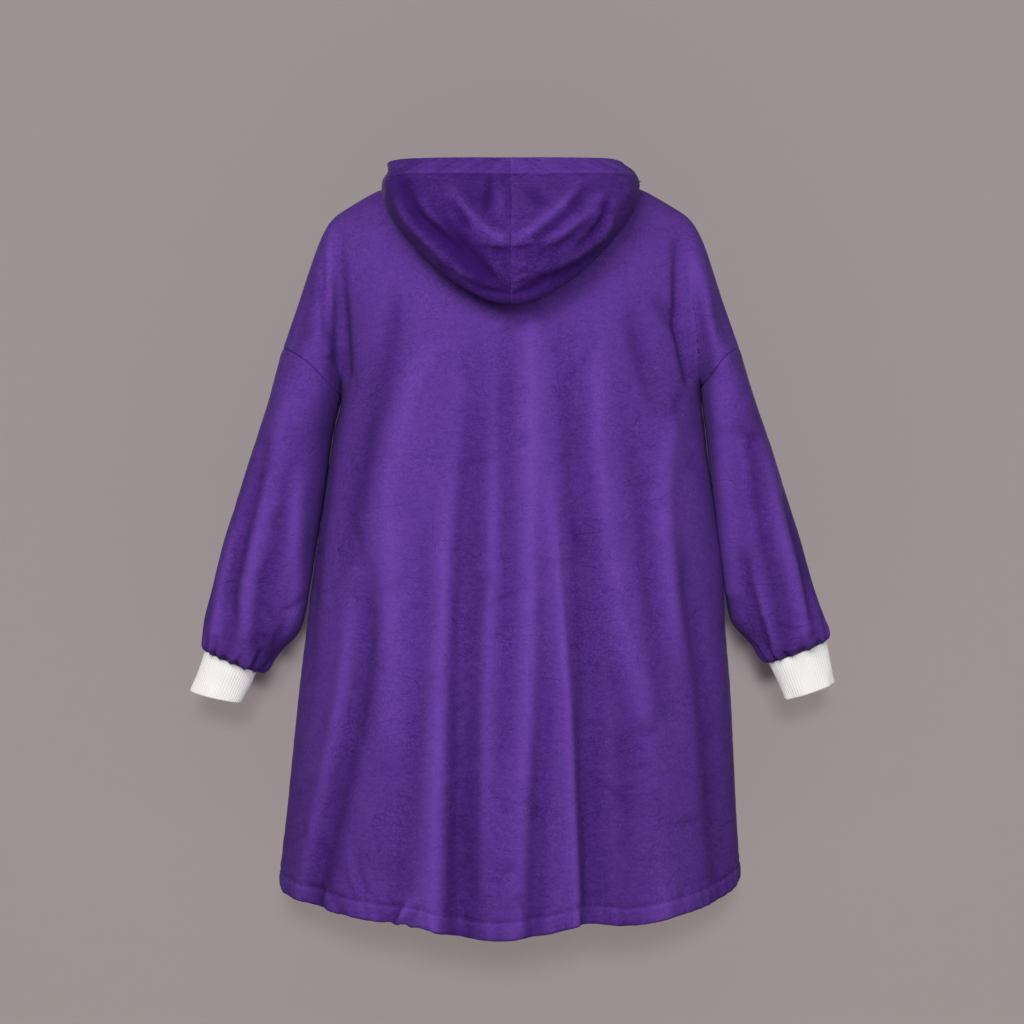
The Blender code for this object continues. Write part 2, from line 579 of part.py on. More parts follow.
def cloth(name, points, thickness, finish, closed=False):
    """A cloth wall: a grid of outer points as one open surface, thickened inwards and made a plain mesh."""
    rows, columns = points.shape[:2]
    index = np.arange(rows * columns).reshape(rows, columns)
    right = np.roll(index, -1, axis=1)
    last = columns if closed else columns - 1
    quads = np.stack([index[:-1], right[:-1], right[1:], index[1:]], axis=2)[:, :last].reshape(-1, 4)
    surface = bpy.data.meshes.new(name + "_surface")
    surface.from_pydata(points.reshape(-1, 3).tolist(), [], quads.tolist())
    surface.materials.append(finish)
    made = bpy.data.objects.new(name, surface)
    garment.objects.link(made)
    wall = made.modifiers.new("wall", "SOLIDIFY")
    wall.thickness = thickness
    wall.offset = -1
    made.data = bpy.data.meshes.new_from_object(made.evaluated_get(bpy.context.evaluated_depsgraph_get()))
    made.modifiers.clear()
    bpy.data.meshes.remove(surface)
    made.data.shade_smooth()
    return made


def coordinates(made):
    flat = np.empty(len(made.data.vertices) * 3, dtype=np.float32)
    made.data.vertices.foreach_get("co", flat)
    return flat.reshape(-1, 3).astype(float)


def trim_at_plane(made, axis, side):
    """Keeps a wall on its own side of the plane where it meets its twin, half a seam gap away from it."""
    verts = coordinates(made)
    verts[:, axis] = np.maximum(verts[:, axis] * side, SEAM_GAP / 2) * side
    made.data.vertices.foreach_set("co", verts.reshape(-1))
    made.data.update()


def trim_at_armhole(made, side, outside):
    """Keeps a wall's edge on its own side of the armhole seam, which is one curve as seen from behind."""
    verts = coordinates(made)
    under_x, under_drop = UNDERARM[side]
    away = seam_away(side)
    top_x, _, top_drop = top_edge(BACK, np.array(1.0))
    length = math.hypot(top_x - under_x, top_drop - under_drop)
    across = verts[:, 0] * SIGN[side] - under_x
    down = -verts[:, 2] - under_drop
    share = (across * away[1] - down * away[0]) / length
    beyond = across * away[0] + down * away[1]
    bend = ARMHOLE_BEND * np.sin(np.clip(share, 0, 1) * math.pi)
    seam = -0.5 * bend * away[0] - bend * away[1]
    beside = (share > -SEAM_OVERRUN) & (share < 1 + SEAM_OVERRUN)
    near = beside & (np.abs(beyond - seam) < SEAM_REACH)
    kept = np.maximum(beyond, seam + SEAM_GAP) if outside else np.minimum(beyond, seam)
    move = np.where(near, kept - beyond, 0)
    verts[:, 0] += SIGN[side] * move * away[0]
    verts[:, 2] -= move * away[1]
    made.data.vertices.foreach_set("co", verts.reshape(-1))
    made.data.update()


for old in list(bpy.data.objects):
    bpy.data.objects.remove(old)
garment = bpy.data.collections.new("wearable blanket hoodie")
bpy.context.scene.collection.children.link(garment)

fleece = material("purple fleece", (0.115, 0.042, 0.285), 0.85)
rib_knit = material("white rib knit", (0.86, 0.85, 0.82), 0.9)

# Back and front panels, which meet at the side seams and along the shoulder line
panel_grid = (NECK_COLUMNS, SIDE_COLUMNS, BODY_ROWS, YOKE_ROWS_LOW, YOKE_ROWS_ROUND)
back_points = body_panel(BACK, *panel_grid)
front_points = body_panel(FRONT, *panel_grid)
for name, points in ((BACK, back_points), (FRONT, front_points[:, ::-1])):
    panel = cloth(name, points, FLEECE, fleece)
    trim_at_plane(panel, 1, OUTWARD[name])
    for side in (LEFT, RIGHT):
        trim_at_armhole(panel, side, outside=False)

# Sleeves and cuffs
arm_angles = round_the_arm(YOKE_ROWS_LOW, YOKE_ROWS_ROUND)
for side in (LEFT, RIGHT):
    arm = sleeve(side, SLEEVE_RINGS, arm_angles)
    wrist = cuff(side, CUFF_RINGS, arm_angles)
    if side == LEFT:
        arm = arm[:, ::-1]
        wrist = wrist[:, ::-1]
    trim_at_armhole(cloth(f"sleeve_{side}", arm, FLEECE, fleece, closed=True), side, outside=True)
    cloth(f"cuff_{side}", wrist, RIB, rib_knit, closed=True)

# Hood halves, which meet at the seam over the crown
for side in (LEFT, RIGHT):
    half = hood_half(side, 2 * NECK_COLUMNS, HOOD_ROWS)
    if side == RIGHT:
        half = half[:, ::-1]
    trim_at_plane(cloth(f"hood_{side}", half, FLEECE, fleece), 0, SIGN[side])
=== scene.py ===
"""The looks of a wearable blanket hoodie, filled out as it is when worn, with no wearer in it.

Metres, +Z up. The origin is at the base of the neck on the shoulder line, the back faces -Y, and +X is
the wearer's right. A drop is a distance below the origin. Each sewn piece is a closed cloth shell on the
form of its solid.
"""

import json
import math

import bpy
import numpy as np
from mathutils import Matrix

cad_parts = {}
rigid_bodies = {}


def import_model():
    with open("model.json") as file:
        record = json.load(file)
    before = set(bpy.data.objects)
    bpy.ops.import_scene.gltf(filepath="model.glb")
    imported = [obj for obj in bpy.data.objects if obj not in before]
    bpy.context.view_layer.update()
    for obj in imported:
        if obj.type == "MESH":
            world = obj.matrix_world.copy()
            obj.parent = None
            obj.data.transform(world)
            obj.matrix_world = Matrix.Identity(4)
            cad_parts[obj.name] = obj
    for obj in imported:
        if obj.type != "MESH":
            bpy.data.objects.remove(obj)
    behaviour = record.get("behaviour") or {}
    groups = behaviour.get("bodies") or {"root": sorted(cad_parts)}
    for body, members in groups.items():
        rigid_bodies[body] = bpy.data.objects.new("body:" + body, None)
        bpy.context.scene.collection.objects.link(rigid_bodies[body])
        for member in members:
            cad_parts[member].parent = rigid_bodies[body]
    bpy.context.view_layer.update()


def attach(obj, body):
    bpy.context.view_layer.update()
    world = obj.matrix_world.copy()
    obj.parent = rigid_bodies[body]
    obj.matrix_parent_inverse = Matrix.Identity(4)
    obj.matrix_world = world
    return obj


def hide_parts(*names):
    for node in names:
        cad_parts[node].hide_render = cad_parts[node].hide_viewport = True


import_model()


# The back is one piece of flannel fleece, cut with a curved neck and a dropped shoulder. It hangs from
# the shoulders in long folds that deepen to the hem, which is turned up and stitched as a casing.
MILLIMETRE = 0.001
FLEECE = 0.0030
SEAM_GAP = 0.0004
LEFT, RIGHT = "left", "right"
BACK, FRONT = "back", "front"
SIGN = {LEFT: -1.0, RIGHT: 1.0}
OUTWARD = {BACK: -1.0, FRONT: 1.0}

NECK_HALF_WIDTH = 0.092
NECK_BACK = 0.078
NECK_FRONT = 0.095
NECK_SIDE_DROP = -0.034
NAPE_DROP = -0.010
THROAT_DROP = 0.070
THROAT_CURVE = 2.4
NECK_SPREAD = 0.2
NECK_SHARE = 0.42

UNDERARM_DROP_MIDDLE = 0.247
SHOULDER_ROUND_FROM = 0.50
ARM_LOBE_HALF_WIDTH = 0.030
ARMHOLE_BEND = 0.006
SEAM_TURN = 0.22
CREASE_ROUND = 0.014

# Body tube below the underarms, a row for each height
BODY = {
    "drop": (0.241, 0.304, 0.391, 0.474, 0.549, 0.625, 0.702, 0.778, 0.854, 0.905),
    LEFT: (0.214, 0.224, 0.237, 0.249, 0.2590, 0.2682, 0.2760, 0.2835, 0.2915, 0.2930),
    RIGHT: (0.240, 0.245, 0.257, 0.2665, 0.2715, 0.2775, 0.2815, 0.2850, 0.2895, 0.2915),
    BACK: (0.141, 0.144, 0.150, 0.156, 0.162, 0.168, 0.175, 0.182, 0.189, 0.194),
    FRONT: (0.136, 0.139, 0.145, 0.150, 0.155, 0.159, 0.164, 0.169, 0.175, 0.178),
}

# Depth of the body above the underarms, measured at its middle
CHEST = {
    "drop": (-0.030, 0.030, 0.080, 0.140, 0.200, 0.255),
    BACK: (0.100, 0.114, 0.124, 0.132, 0.138, 0.142),
    FRONT: (0.096, 0.108, 0.119, 0.127, 0.133, 0.137),
}

# The crease between body and arm, from the underarm (share 0) up to the shoulder line (share 1)
CREASE = {
    "share": (0.0, 0.25, 0.50, 0.75, 1.0),
    LEFT: (0.215, 0.215, 0.2165, 0.219, 0.221),
    RIGHT: (0.240, 0.236, 0.229, 0.221, 0.216),
    "height": (0.0, 0.45, 0.66, 0.80, 0.92),
    "arm_depth": (0.078, 0.078, 0.077, 0.073, 0.066),
}

# Shoulder line from the neck over the shoulder and down the outer arm to the armhole seam
SHOULDER = {
    "x": (
        0.092, 0.130, 0.170, 0.1855, 0.2007, 0.2159, 0.2235,
        0.2312, 0.2388, 0.2464, 0.2540, 0.2692, 0.2885,
    ),
    "drop": (
        -0.034, -0.0215, -0.007, 0.0012, 0.0102, 0.0197, 0.0255,
        0.0345, 0.0480, 0.0665, 0.0895, 0.1370, 0.1925,
    ),
}
UNDERARM = {LEFT: (0.215, 0.2525), RIGHT: (0.240, 0.2410)}

# Hem line, a row for each share of the half width from the left side (-1) to the right side (1)
HEM = {
    "share": (-1.0, -0.90, -0.60, -0.36, -0.20, -0.05, 0.15, 0.32, 0.50, 0.70, 0.90, 1.0),
    BACK: (0.871, 0.8745, 0.884, 0.8875, 0.8985, 0.9010, 0.8935, 0.8835, 0.8885, 0.8820, 0.8720, 0.8610),
    FRONT: (0.871, 0.8735, 0.880, 0.8850, 0.8875, 0.8880, 0.8865, 0.8840, 0.8810, 0.8760, 0.8680, 0.8610),
}
HEM_HEIGHT = 0.020
HEM_THICKNESS = 0.0062
HEM_SWELL = 0.0009
HEM_SWELL_POWER = 0.7
HEM_GROOVE = 0.0007
HEM_GROOVE_REACH = 0.0022
HEM_RIDGE_ABOVE = 0.006
HEM_RIDGE_REACH = 0.004
HEM_PUCKER = 0.0011
FINE_GATHERS = 0.0085
FINE_GATHER_SLANT = 0.35
FINE_GATHER_SHARE = 0.6
BROAD_GATHERS = 0.024
GATHER_FADE = 0.011
# Painted shade in the casing's stitch groove and gather troughs, painted highlight on its ridge and gathers
GROOVE_SHADE = 0.15
GROOVE_SHADE_REACH = 0.0017
RIDGE_LIGHT = 0.35
RIDGE_LIGHT_BELOW = 0.0035
RIDGE_LIGHT_REACH = 0.0022
GATHER_SHADE_TURN = 0.0036
GATHER_SHADE_BLEND = 0.014

# Seam: how deep the cloth dips into it, how far it stands up beside it, and its puckers
SEAM_DIP = 0.0005
SEAM_DIP_REACH = 0.0018
SEAM_STAND = 0.0003
SEAM_STAND_AWAY = 0.0075
SEAM_STAND_REACH = 0.004
SEAM_PUCKER = 0.00045
SEAM_PUCKERS = 0.012
SEAM_PUCKER_REACH = 0.010

# Folds of the back as seen from behind, in millimetres. Each follows a path of (x, drop) places with a
# rise at each, and has a half width on its left and one on its right. A rise below zero is a trough.
# Their rises also set painted shade in the troughs and painted highlight on the ridges.
FOLD_COLUMNS = ("path", "rises", "left", "right")
BACK_FOLDS = (
    (((-40, 160), (-52, 360), (-62, 560), (-66, 910)), (0, -8, -12, -20), 11, 26),
    (((-78, 340), (-80, 500), (-84, 700), (-90, 910)), (0, 6, 10, 14), 24, 12),
    (((-105, 380), (-104, 500), (-112, 660), (-128, 840)), (0, -4, -5, -4), 16, 16),
    (((-112, 220), (-152, 380), (-148, 500), (-146, 660)), (3, 5, 6, 3), 18, 18),
    (((-26, 280), (-24, 440), (-30, 620), (-34, 840)), (0, 5, 5, 3), 11, 11),
    (((-2, 150), (-6, 270), (-2, 460), (-8, 700)), (0, -5, -5, -3), 9, 10),
    (((24, 170), (26, 320), (23, 560), (10, 840)), (3, 6, 6, 3), 13, 13),
    (((36, 380), (40, 560), (32, 740), (28, 910)), (0, -4, -7, -9), 10, 12),
    (((48, 340), (58, 500), (70, 660), (80, 910)), (0, 6, 8, 10), 10, 7),
    (((60, 160), (76, 320), (89, 520), (96, 910)), (0, -8, -10, -12), 16, 22),
    (((110, 180), (106, 300), (124, 460), (158, 640)), (0, 5, 4, 5), 14, 16),
    (((130, 220), (160, 380), (172, 500), (190, 640)), (0, -4, -5, -3), 14, 16),
    (((120, 540), (140, 640), (142, 800)), (0, -5, -3), 18, 18),
    (((205, 260), (188, 380), (196, 500), (210, 600)), (0, 6, 6, 0), 13, 13),
    (((212, 420), (219, 500), (238, 630), (256, 880)), (0, -5, -6, -4), 13, 14),
    (((-134, 140), (-172, 260), (-196, 370), (-214, 480)), (0, -7, -8, 0), 14, 20),
    (((-170, 460), (-184, 600), (-214, 740), (-250, 900)), (0, -9, -10, -9), 14, 18),
    (((-196, 500), (-206, 620), (-234, 760), (-262, 880)), (0, 6, 6, 3), 12, 12),
    (((-144, 120), (-148, 170), (-160, 220)), (0, -3, 0), 7, 10),
    (((142, 140), (160, 210), (186, 290)), (0, -6, 0), 12, 14),
    (((172, 760), (186, 840), (190, 910)), (0, 3, 6), 18, 16),
    (((-135, 800), (-142, 860), (-146, 910)), (0, -3, -6), 10, 12),
    (((132, 780), (140, 850), (142, 910)), (0, -3, -6), 12, 12),
    (((172, 136), (196, 162), (218, 192)), (0, -5, -2), 8, 11),
    (((-232, 80), (-232, 130), (-222, 190), (-212, 225)), (0, -4, -5, 0), 7, 9),
    (((-262, 840), (-240, 872), (-222, 905)), (0, -2.4, -2), 6, 7),
    (((-238, 830), (-214, 868), (-200, 905)), (0, -2.2, -2), 5, 7),
    (((-214, 40), (-212, 100), (-209, 160), (-205, 225)), (0, -4, -7, -5), 5, 8),
    (((-227, 40), (-225, 120), (-223, 200)), (1, 4, 4), 6, 6),
    (((208, 60), (206, 120), (209, 178), (222, 235)), (-2, -6, -7, -5), 7, 5),
    (((226, 80), (226, 160), (238, 230)), (1, 4, 4), 6, 7),
    (((-222, 270), (-238, 385), (-247, 500), (-251, 660)), (-3, -4, -3, 0), 8, 9),
    (((-83, 868), (-78, 886), (-77, 906)), (-1, -4, -5), 3, 3.5),
    (((79, 862), (84, 880), (87, 900)), (-1, -4, -5), 3.5, 3),
    (((-127, 856), (-136, 872), (-147, 888)), (0, -4.5, -3), 3.4, 4),
    (((-119, 858), (-127, 874), (-137, 890)), (0, 4, 2), 4, 3),
    (((-108, 862), (-117, 878), (-128, 892)), (0, -4.5, -3), 3.4, 4),
    (((-196, 800), (-192, 832), (-180, 862)), (0, 2.2, 0), 4, 5),
    (((-186, 790), (-183, 826), (-168, 866)), (0, -2, 0), 5, 5),
    (((150, 720), (196, 716), (236, 730)), (0, -1.4, 0), 3, 4),
    (((170, 770), (206, 778), (240, 770)), (0, -1.4, 0), 3, 4),
    (((128, 800), (170, 818), (214, 812)), (0, -1.4, 0), 3, 4),
)
# Painted shade of the body: fold troughs dark and ridges light, hairline creases dark, the lower body darker
FOLD_SHADE_TURN = 0.0062
LOW_SHADE = 0.28
HAIRLINE_TURN = 0.0016
LATTICE = 64
HAIRLINE_SEED = 5
RUMPLES = ((0.085, 0.0014, 11), (0.038, 0.0006, 12), (0.016, 0.00028, 13))
RUMPLE_STRETCH = np.array([1, 1, 1.8])
PANEL_HALF_COLUMNS = 120
# Rows of points in the hem casing by their height over the hem, then the first row over it and the rows above
CASING_ROWS = (0, 0.0008, 0.002, 0.0038, 0.006, 0.0085, 0.011, 0.0135, 0.016, 0.018, 0.0192, 0.0202, 0.0212)
FIRST_ROW = 0.024
TUBE_ROWS = 196
YOKE_ROWS = (38, 44)
PANEL_HAIRLINES = 170
# Drops over which painted shade darkens the body towards the hem
LOW_SHADE_DROPS = (0.55, 0.85)
UNDERARM_BLEND = (0.26, 0.30)
SLEEVE_END_BLEND = (0.50, 0.56)
FOLDS_FROM_SEAM = 0.040
FOLDS_FROM_TOP = 0.02
# The body swells to meet the sleeve beside it, and its left side seam leans forward and its right one back
ARM_SWELL = 0.0011
ARM_SWELL_REACH = 0.03
SIDE_SEAM_LEAN = -0.0005
SEAM_LEAN_REACH = 0.010


def through(places, values, at):
    """A smooth curve through a table's rows without overshoot: cubic pieces with harmonic-mean slopes."""
    x = np.asarray(places, float)
    y = np.asarray(values, float)
    at = np.asarray(at, float)
    step = np.diff(x)
    slope = np.diff(y) / step
    tangent = np.zeros_like(y)
    rising = slope[:-1] * slope[1:] > 0
    mean = 2 * slope[:-1] * slope[1:] / np.where(rising, slope[:-1] + slope[1:], 1)
    tangent[1:-1] = np.where(rising, mean, 0)
    tangent[0] = slope[0]
    tangent[-1] = slope[-1]
    i = np.clip(np.searchsorted(x, at) - 1, 0, len(step) - 1)
    t = (at - x[i]) / step[i]
    low = (1 + 2 * t) * (1 - t) ** 2 * y[i] + t * (1 - t) ** 2 * step[i] * tangent[i]
    high = t * t * (3 - 2 * t) * y[i + 1] + t * t * (t - 1) * step[i] * tangent[i + 1]
    return low + high


def spline(rows, at):
    """A round curve through evenly spaced rows of points, read at shares from 0 to 1. Ends are given twice.
    """
    rows = np.asarray(rows, float)
    count = rows.shape[0] - 3
    place = np.clip(np.asarray(at, float) * count, 0, count - 1e-9)
    i = place.astype(int)
    t = (place - i).reshape(-1, *([1] * (rows.ndim - 1)))
    a, b, c, d = (rows[i + k] for k in range(4))
    return 0.5 * (2 * b + (c - a) * t + (2 * a - 5 * b + 4 * c - d) * t**2 + (3 * b - a - 3 * c + d) * t**3)


def smoothstep(low, high, at):
    """0 below low, 1 above high, and 3t^2 - 2t^3 between them."""
    t = np.clip((at - low) / (high - low), 0, 1)
    return t * t * (3 - 2 * t)


def bell(at, middle, reach):
    """1 at the middle, falling off on both sides as exp(-(distance / reach) squared)."""
    return np.exp(-(((at - middle) / reach) ** 2))


def normals_of(points, closed=False):
    """Unit normals of a grid: the step across it crossed with the step along it, by central differences."""
    if closed:
        padded = np.concatenate([points[:, -1:], points, points[:, :1]], axis=1)
        across = np.gradient(padded, axis=1)[:, 1:-1]
    else:
        across = np.gradient(points, axis=1)
    normal = np.cross(across, np.gradient(points, axis=0))
    return normal / np.maximum(np.linalg.norm(normal, axis=2, keepdims=True), 1e-12)


def rumple(points, size, seed):
    """Smooth noise from -1 to 1: random values at the corners of cubes, blended between by smoothsteps."""
    lattice = np.random.default_rng(seed).uniform(-1, 1, (LATTICE, LATTICE, LATTICE))
    place = points / size
    corner = np.floor(place).astype(int)
    t = place - corner
    t = t * t * (3 - 2 * t)
    value = np.zeros(points.shape[:-1])
    for dx in (0, 1):
        for dy in (0, 1):
            for dz in (0, 1):
                i, j, k = ((corner + (dx, dy, dz)) % LATTICE).transpose(2, 0, 1)
                share = np.where(dx, t[..., 0], 1 - t[..., 0]) * np.where(dy, t[..., 1], 1 - t[..., 1])
                value += lattice[i, j, k] * share * np.where(dz, t[..., 2], 1 - t[..., 2])
    return value


def fold_lift(across, down, row):
    """Lift of one fold in millimetres: its rise at its path's nearest place, times a bell of the distance.

    The path is a round curve through the row's places. The bell is exp(-(distance / half width) squared),
    with one half width on the left of the path and another on its right, for a path that runs downwards.
    """
    fold = dict(zip(FOLD_COLUMNS, row))
    path = np.asarray(fold["path"], float)
    ends = np.concatenate([path[:1], path, path[-1:]])
    steps = np.linspace(0, 1, 4 * len(path))
    curve = spline(ends, steps)
    rises = through(np.linspace(0, 1, len(path)), fold["rises"], steps)
    reach = 3 * max(fold["left"], fold["right"])
    low, high = curve.min(axis=0) - reach, curve.max(axis=0) + reach
    near = (across > low[0]) & (across < high[0]) & (down > low[1]) & (down < high[1])
    place = np.stack([across[near], down[near]], axis=1)
    best = np.full(len(place), np.inf)
    lift = np.zeros(len(place))
    for start, end, rise, next_rise in zip(curve[:-1], curve[1:], rises[:-1], rises[1:]):
        step = end - start
        length = np.linalg.norm(step)
        t = np.clip((place - start) @ step / length**2, 0, 1)
        away = place - start - t[:, None] * step
        distance = np.linalg.norm(away, axis=1)
        right = away[:, 0] * step[1] - away[:, 1] * step[0] > 0
        width = np.where(right, fold["right"], fold["left"])
        closer = distance < best
        best = np.where(closer, distance, best)
        lift = np.where(closer, (rise + (next_rise - rise) * t) * np.exp(-((distance / width) ** 2)), lift)
    result = np.zeros_like(across)
    result[near] = lift
    return result


def folds_lift(across, down, rows):
    """The lifts of a table of folds in millimetres, added up, for places in metres."""
    return sum(fold_lift(across / MILLIMETRE, down / MILLIMETRE, row) for row in rows) * MILLIMETRE


def hairlines(count, low, high, seed):
    """Seeded rows of short shallow creases of a crushed pile, between two corners, in millimetres."""
    random = np.random.default_rng(seed)
    rows = []
    for _ in range(count):
        middle = random.uniform(low, high)
        heading = random.normal(0, 0.7) + math.pi / 2 * random.integers(0, 2)
        half = random.uniform(12, 42) * np.array([math.sin(heading), math.cos(heading)])
        bow = random.normal(0, 6, 2)
        path = (tuple(middle - half), tuple(middle + bow), tuple(middle + half))
        width = random.uniform(3.5, 6.0)
        rows.append((path, (0, random.uniform(-0.8, 0.5), 0), width, width * random.uniform(0.8, 1.6)))
    return rows


def neckline(turn):
    """The neckline as two half ellipses, at degrees from the throat (0) over the side (90) to the nape
    (180).
    """
    angle = np.radians(turn)
    forward = np.cos(angle)
    depth = np.where(forward > 0, NECK_FRONT, NECK_BACK) * forward
    low = (THROAT_DROP - NECK_SIDE_DROP) * np.clip(forward, 0, 1) ** THROAT_CURVE
    low += (NAPE_DROP - NECK_SIDE_DROP) * np.clip(-forward, 0, 1) ** 2
    return NECK_HALF_WIDTH * np.sin(angle), depth, NECK_SIDE_DROP + low


def top_edge(face, across):
    """Top edge of a body panel on one side: the neckline up to NECK_SHARE across, then the shoulder line."""
    within = np.clip(across / NECK_SHARE, 0, 1)
    turn = 180 - 90 * within if face == BACK else 90 * within
    neck_x, neck_y, neck_drop = neckline(turn)
    x = np.asarray(SHOULDER["x"])
    drop = np.asarray(SHOULDER["drop"])
    length = np.concatenate([[0], np.cumsum(np.hypot(np.diff(x), np.diff(drop)))])
    along = np.clip((across - NECK_SHARE) / (1 - NECK_SHARE), 0, 1) * length[-1]
    on_shoulder = across > NECK_SHARE
    edge_x = np.where(on_shoulder, through(length, x, along), neck_x)
    edge_drop = np.where(on_shoulder, through(length, drop, along), neck_drop)
    return edge_x, np.where(on_shoulder, 0, np.abs(neck_y)), edge_drop


def arm_and_body_depth(face, side, x, drop, share):
    """Depth of the body and the arm lobe beside it: two half ellipses that meet in a softened crease."""
    crease = through(CREASE["share"], CREASE[side], share)
    arm_depth = through(CREASE["share"], CREASE["arm_depth"], share)
    height = through(CREASE["share"], CREASE["height"], share)
    chest = through(CHEST["drop"], CHEST[face], drop)
    meet = height * arm_depth
    body_reach = crease / np.sqrt(1 - (meet / chest) ** 2)
    arm_reach = ARM_LOBE_HALF_WIDTH / np.sqrt(1 - height**2)
    body = chest * np.sqrt(np.clip(1 - (x / body_reach) ** 2, 0, 1))
    inside = np.clip(crease + ARM_LOBE_HALF_WIDTH - x, 0, None)
    arm = arm_depth * np.sqrt(np.clip(1 - (inside / arm_reach) ** 2, 0, 1))
    arm = np.where(inside < arm_reach, arm, -CREASE_ROUND)
    soft = CREASE_ROUND * smoothstep(0, 0.3, share)
    return np.where(share < 1e-6, body, 0.5 * (body + arm + np.sqrt((body - arm) ** 2 + soft**2)))


def yoke_plane(face, side, across, share):
    """Where a place above the underarm lies as seen from behind: a Coons patch between its four edges."""
    under_x, under_drop = UNDERARM[side]
    low_x = under_x * np.sin(across * math.pi / 2)
    low_drop = UNDERARM_DROP_MIDDLE + (under_drop - UNDERARM_DROP_MIDDLE) * across**2
    top_x, _, top_drop = top_edge(face, across)
    end_x, _, end_drop = top_edge(face, np.array(1.0))
    middle_drop = NAPE_DROP if face == BACK else THROAT_DROP
    bend = ARMHOLE_BEND * np.sin(share * math.pi)
    seam_x = under_x + (end_x - under_x) * share - 0.5 * bend
    seam_drop = under_drop + (end_drop - under_drop) * share - bend
    centre_drop = UNDERARM_DROP_MIDDLE + (middle_drop - UNDERARM_DROP_MIDDLE) * share
    x = (1 - share) * low_x + share * top_x + across * seam_x
    x -= across * ((1 - share) * under_x + share * end_x)
    drop = (1 - share) * low_drop + share * top_drop + (1 - across) * centre_drop + across * seam_drop
    drop -= (1 - across) * ((1 - share) * UNDERARM_DROP_MIDDLE + share * middle_drop)
    drop -= across * ((1 - share) * under_drop + share * end_drop)
    return x, drop


def seam_away(side):
    """Direction, across and down, that leaves the body square to the armhole seam."""
    top_x, _, top_drop = top_edge(BACK, np.array(1.0))
    across, down = UNDERARM[side][1] - top_drop, top_x - UNDERARM[side][0]
    return np.array([across, down]) / math.hypot(across, down)


def yoke(face, side, across, share):
    """Panel above the underarm: the patch, turned square to the armhole and rounded over the shoulder."""
    x, drop = yoke_plane(face, side, across, share)
    step = 0.001
    edge_x, edge_drop = yoke_plane(face, side, np.array(1.0), share)
    before_x, before_drop = yoke_plane(face, side, np.array(1 - step), share)
    tangent_x, tangent_drop = (edge_x - before_x) / step, (edge_drop - before_drop) / step
    speed = np.hypot(tangent_x, tangent_drop)
    away = seam_away(side)
    back = 1 - across
    turn = back * np.clip(1 - back / SEAM_TURN, 0, 1) ** 2
    turn = turn * smoothstep(0, 0.12, share) * (1 - smoothstep(0.85, 1, share))
    x = x - turn * (away[0] * speed - tangent_x)
    drop = drop - turn * (away[1] * speed - tangent_drop)
    top_x, top_y, _ = top_edge(face, across)
    rounding = np.clip((share - SHOULDER_ROUND_FROM) / (1 - SHOULDER_ROUND_FROM), 0, 1)
    middle_x = yoke_plane(face, side, across, np.array(SHOULDER_ROUND_FROM))[0]
    spread = (middle_x - top_x) * (np.sqrt(1 - rounding**2) - (1 - rounding))
    x = x + spread * (rounding > 0) * (1 - smoothstep(NECK_SHARE, NECK_SHARE + NECK_SPREAD, across))
    full = arm_and_body_depth(face, side, x, drop, share)
    depth = top_y + (full - top_y) * np.sqrt(1 - rounding**2)
    return x, depth, drop


def tube(face, side, across, share):
    """Panel below the underarm, from the hem (share 0) up (share 1): a quarter ellipse at each height."""
    angle = across * math.pi / 2
    sideways = SIGN[side] * np.sin(angle)
    hem = through(HEM["share"], HEM[face], sideways)
    top = UNDERARM_DROP_MIDDLE + (UNDERARM[side][1] - UNDERARM_DROP_MIDDLE) * across**2
    drop = hem + (top - hem) * share
    half_width = through(BODY["drop"], BODY[side], drop)
    half_width += (UNDERARM[side][0] - half_width) * smoothstep(0.93, 1.0, share)
    depth = through(BODY["drop"], BODY[face], drop)
    depth += (through(CHEST["drop"], CHEST[face], drop) - depth) * smoothstep(0.85, 1.0, share)
    return half_width * np.sin(angle), depth * np.cos(angle), drop


def yoke_shares(low_rows, round_rows):
    """Rows above the underarm: even ones, then ones that close up as a sine over the shoulder."""
    low_share = np.linspace(0, SHOULDER_ROUND_FROM, low_rows + 1)
    curve = np.linspace(0, 1, round_rows + 1)[1:] * math.pi / 2
    return np.concatenate([low_share, SHOULDER_ROUND_FROM + (1 - SHOULDER_ROUND_FROM) * np.sin(curve)])


def panel_form(face, half_columns, tube_share, yoke_share):
    """Outer points of a body panel, rows from the hem up, columns from left to right, and the columns'
    shares.
    """
    across = np.linspace(0, 1, half_columns + 1)
    halves = {}
    for side in (LEFT, RIGHT):
        below = np.stack(tube(face, side, across, tube_share[:, None]), axis=2)
        above = np.stack(yoke(face, side, across, yoke_share[1:, None]), axis=2)
        halves[side] = np.concatenate([below, above]) * (SIGN[side], OUTWARD[face], -1)
    points = np.concatenate([halves[LEFT][:, :0:-1], halves[RIGHT]], axis=1)
    points[..., 1] += OUTWARD[face] * SEAM_GAP / 2
    return points, np.concatenate([across[:0:-1], across])


def run_along(points, axis):
    """Distance run along a grid of points from its first row or column."""
    step = np.linalg.norm(np.diff(points, axis=axis), axis=2)
    first = np.zeros_like(np.take(step, [0], axis=axis))
    return np.concatenate([first, np.cumsum(step, axis=axis)], axis=axis)


def uneven_waves(along, spacing, seed):
    """Uneven gathers along an edge: round curves between random heights at places about a spacing apart."""
    random = np.random.default_rng(seed)
    count = int(along.max() / spacing) + 8
    places = np.cumsum(random.uniform(0.55, 1.45, count)) * spacing - 2 * spacing
    heights = np.where(np.arange(count) % 2, 1, -1) * random.uniform(0.25, 1, count)
    return through(places, heights, along)


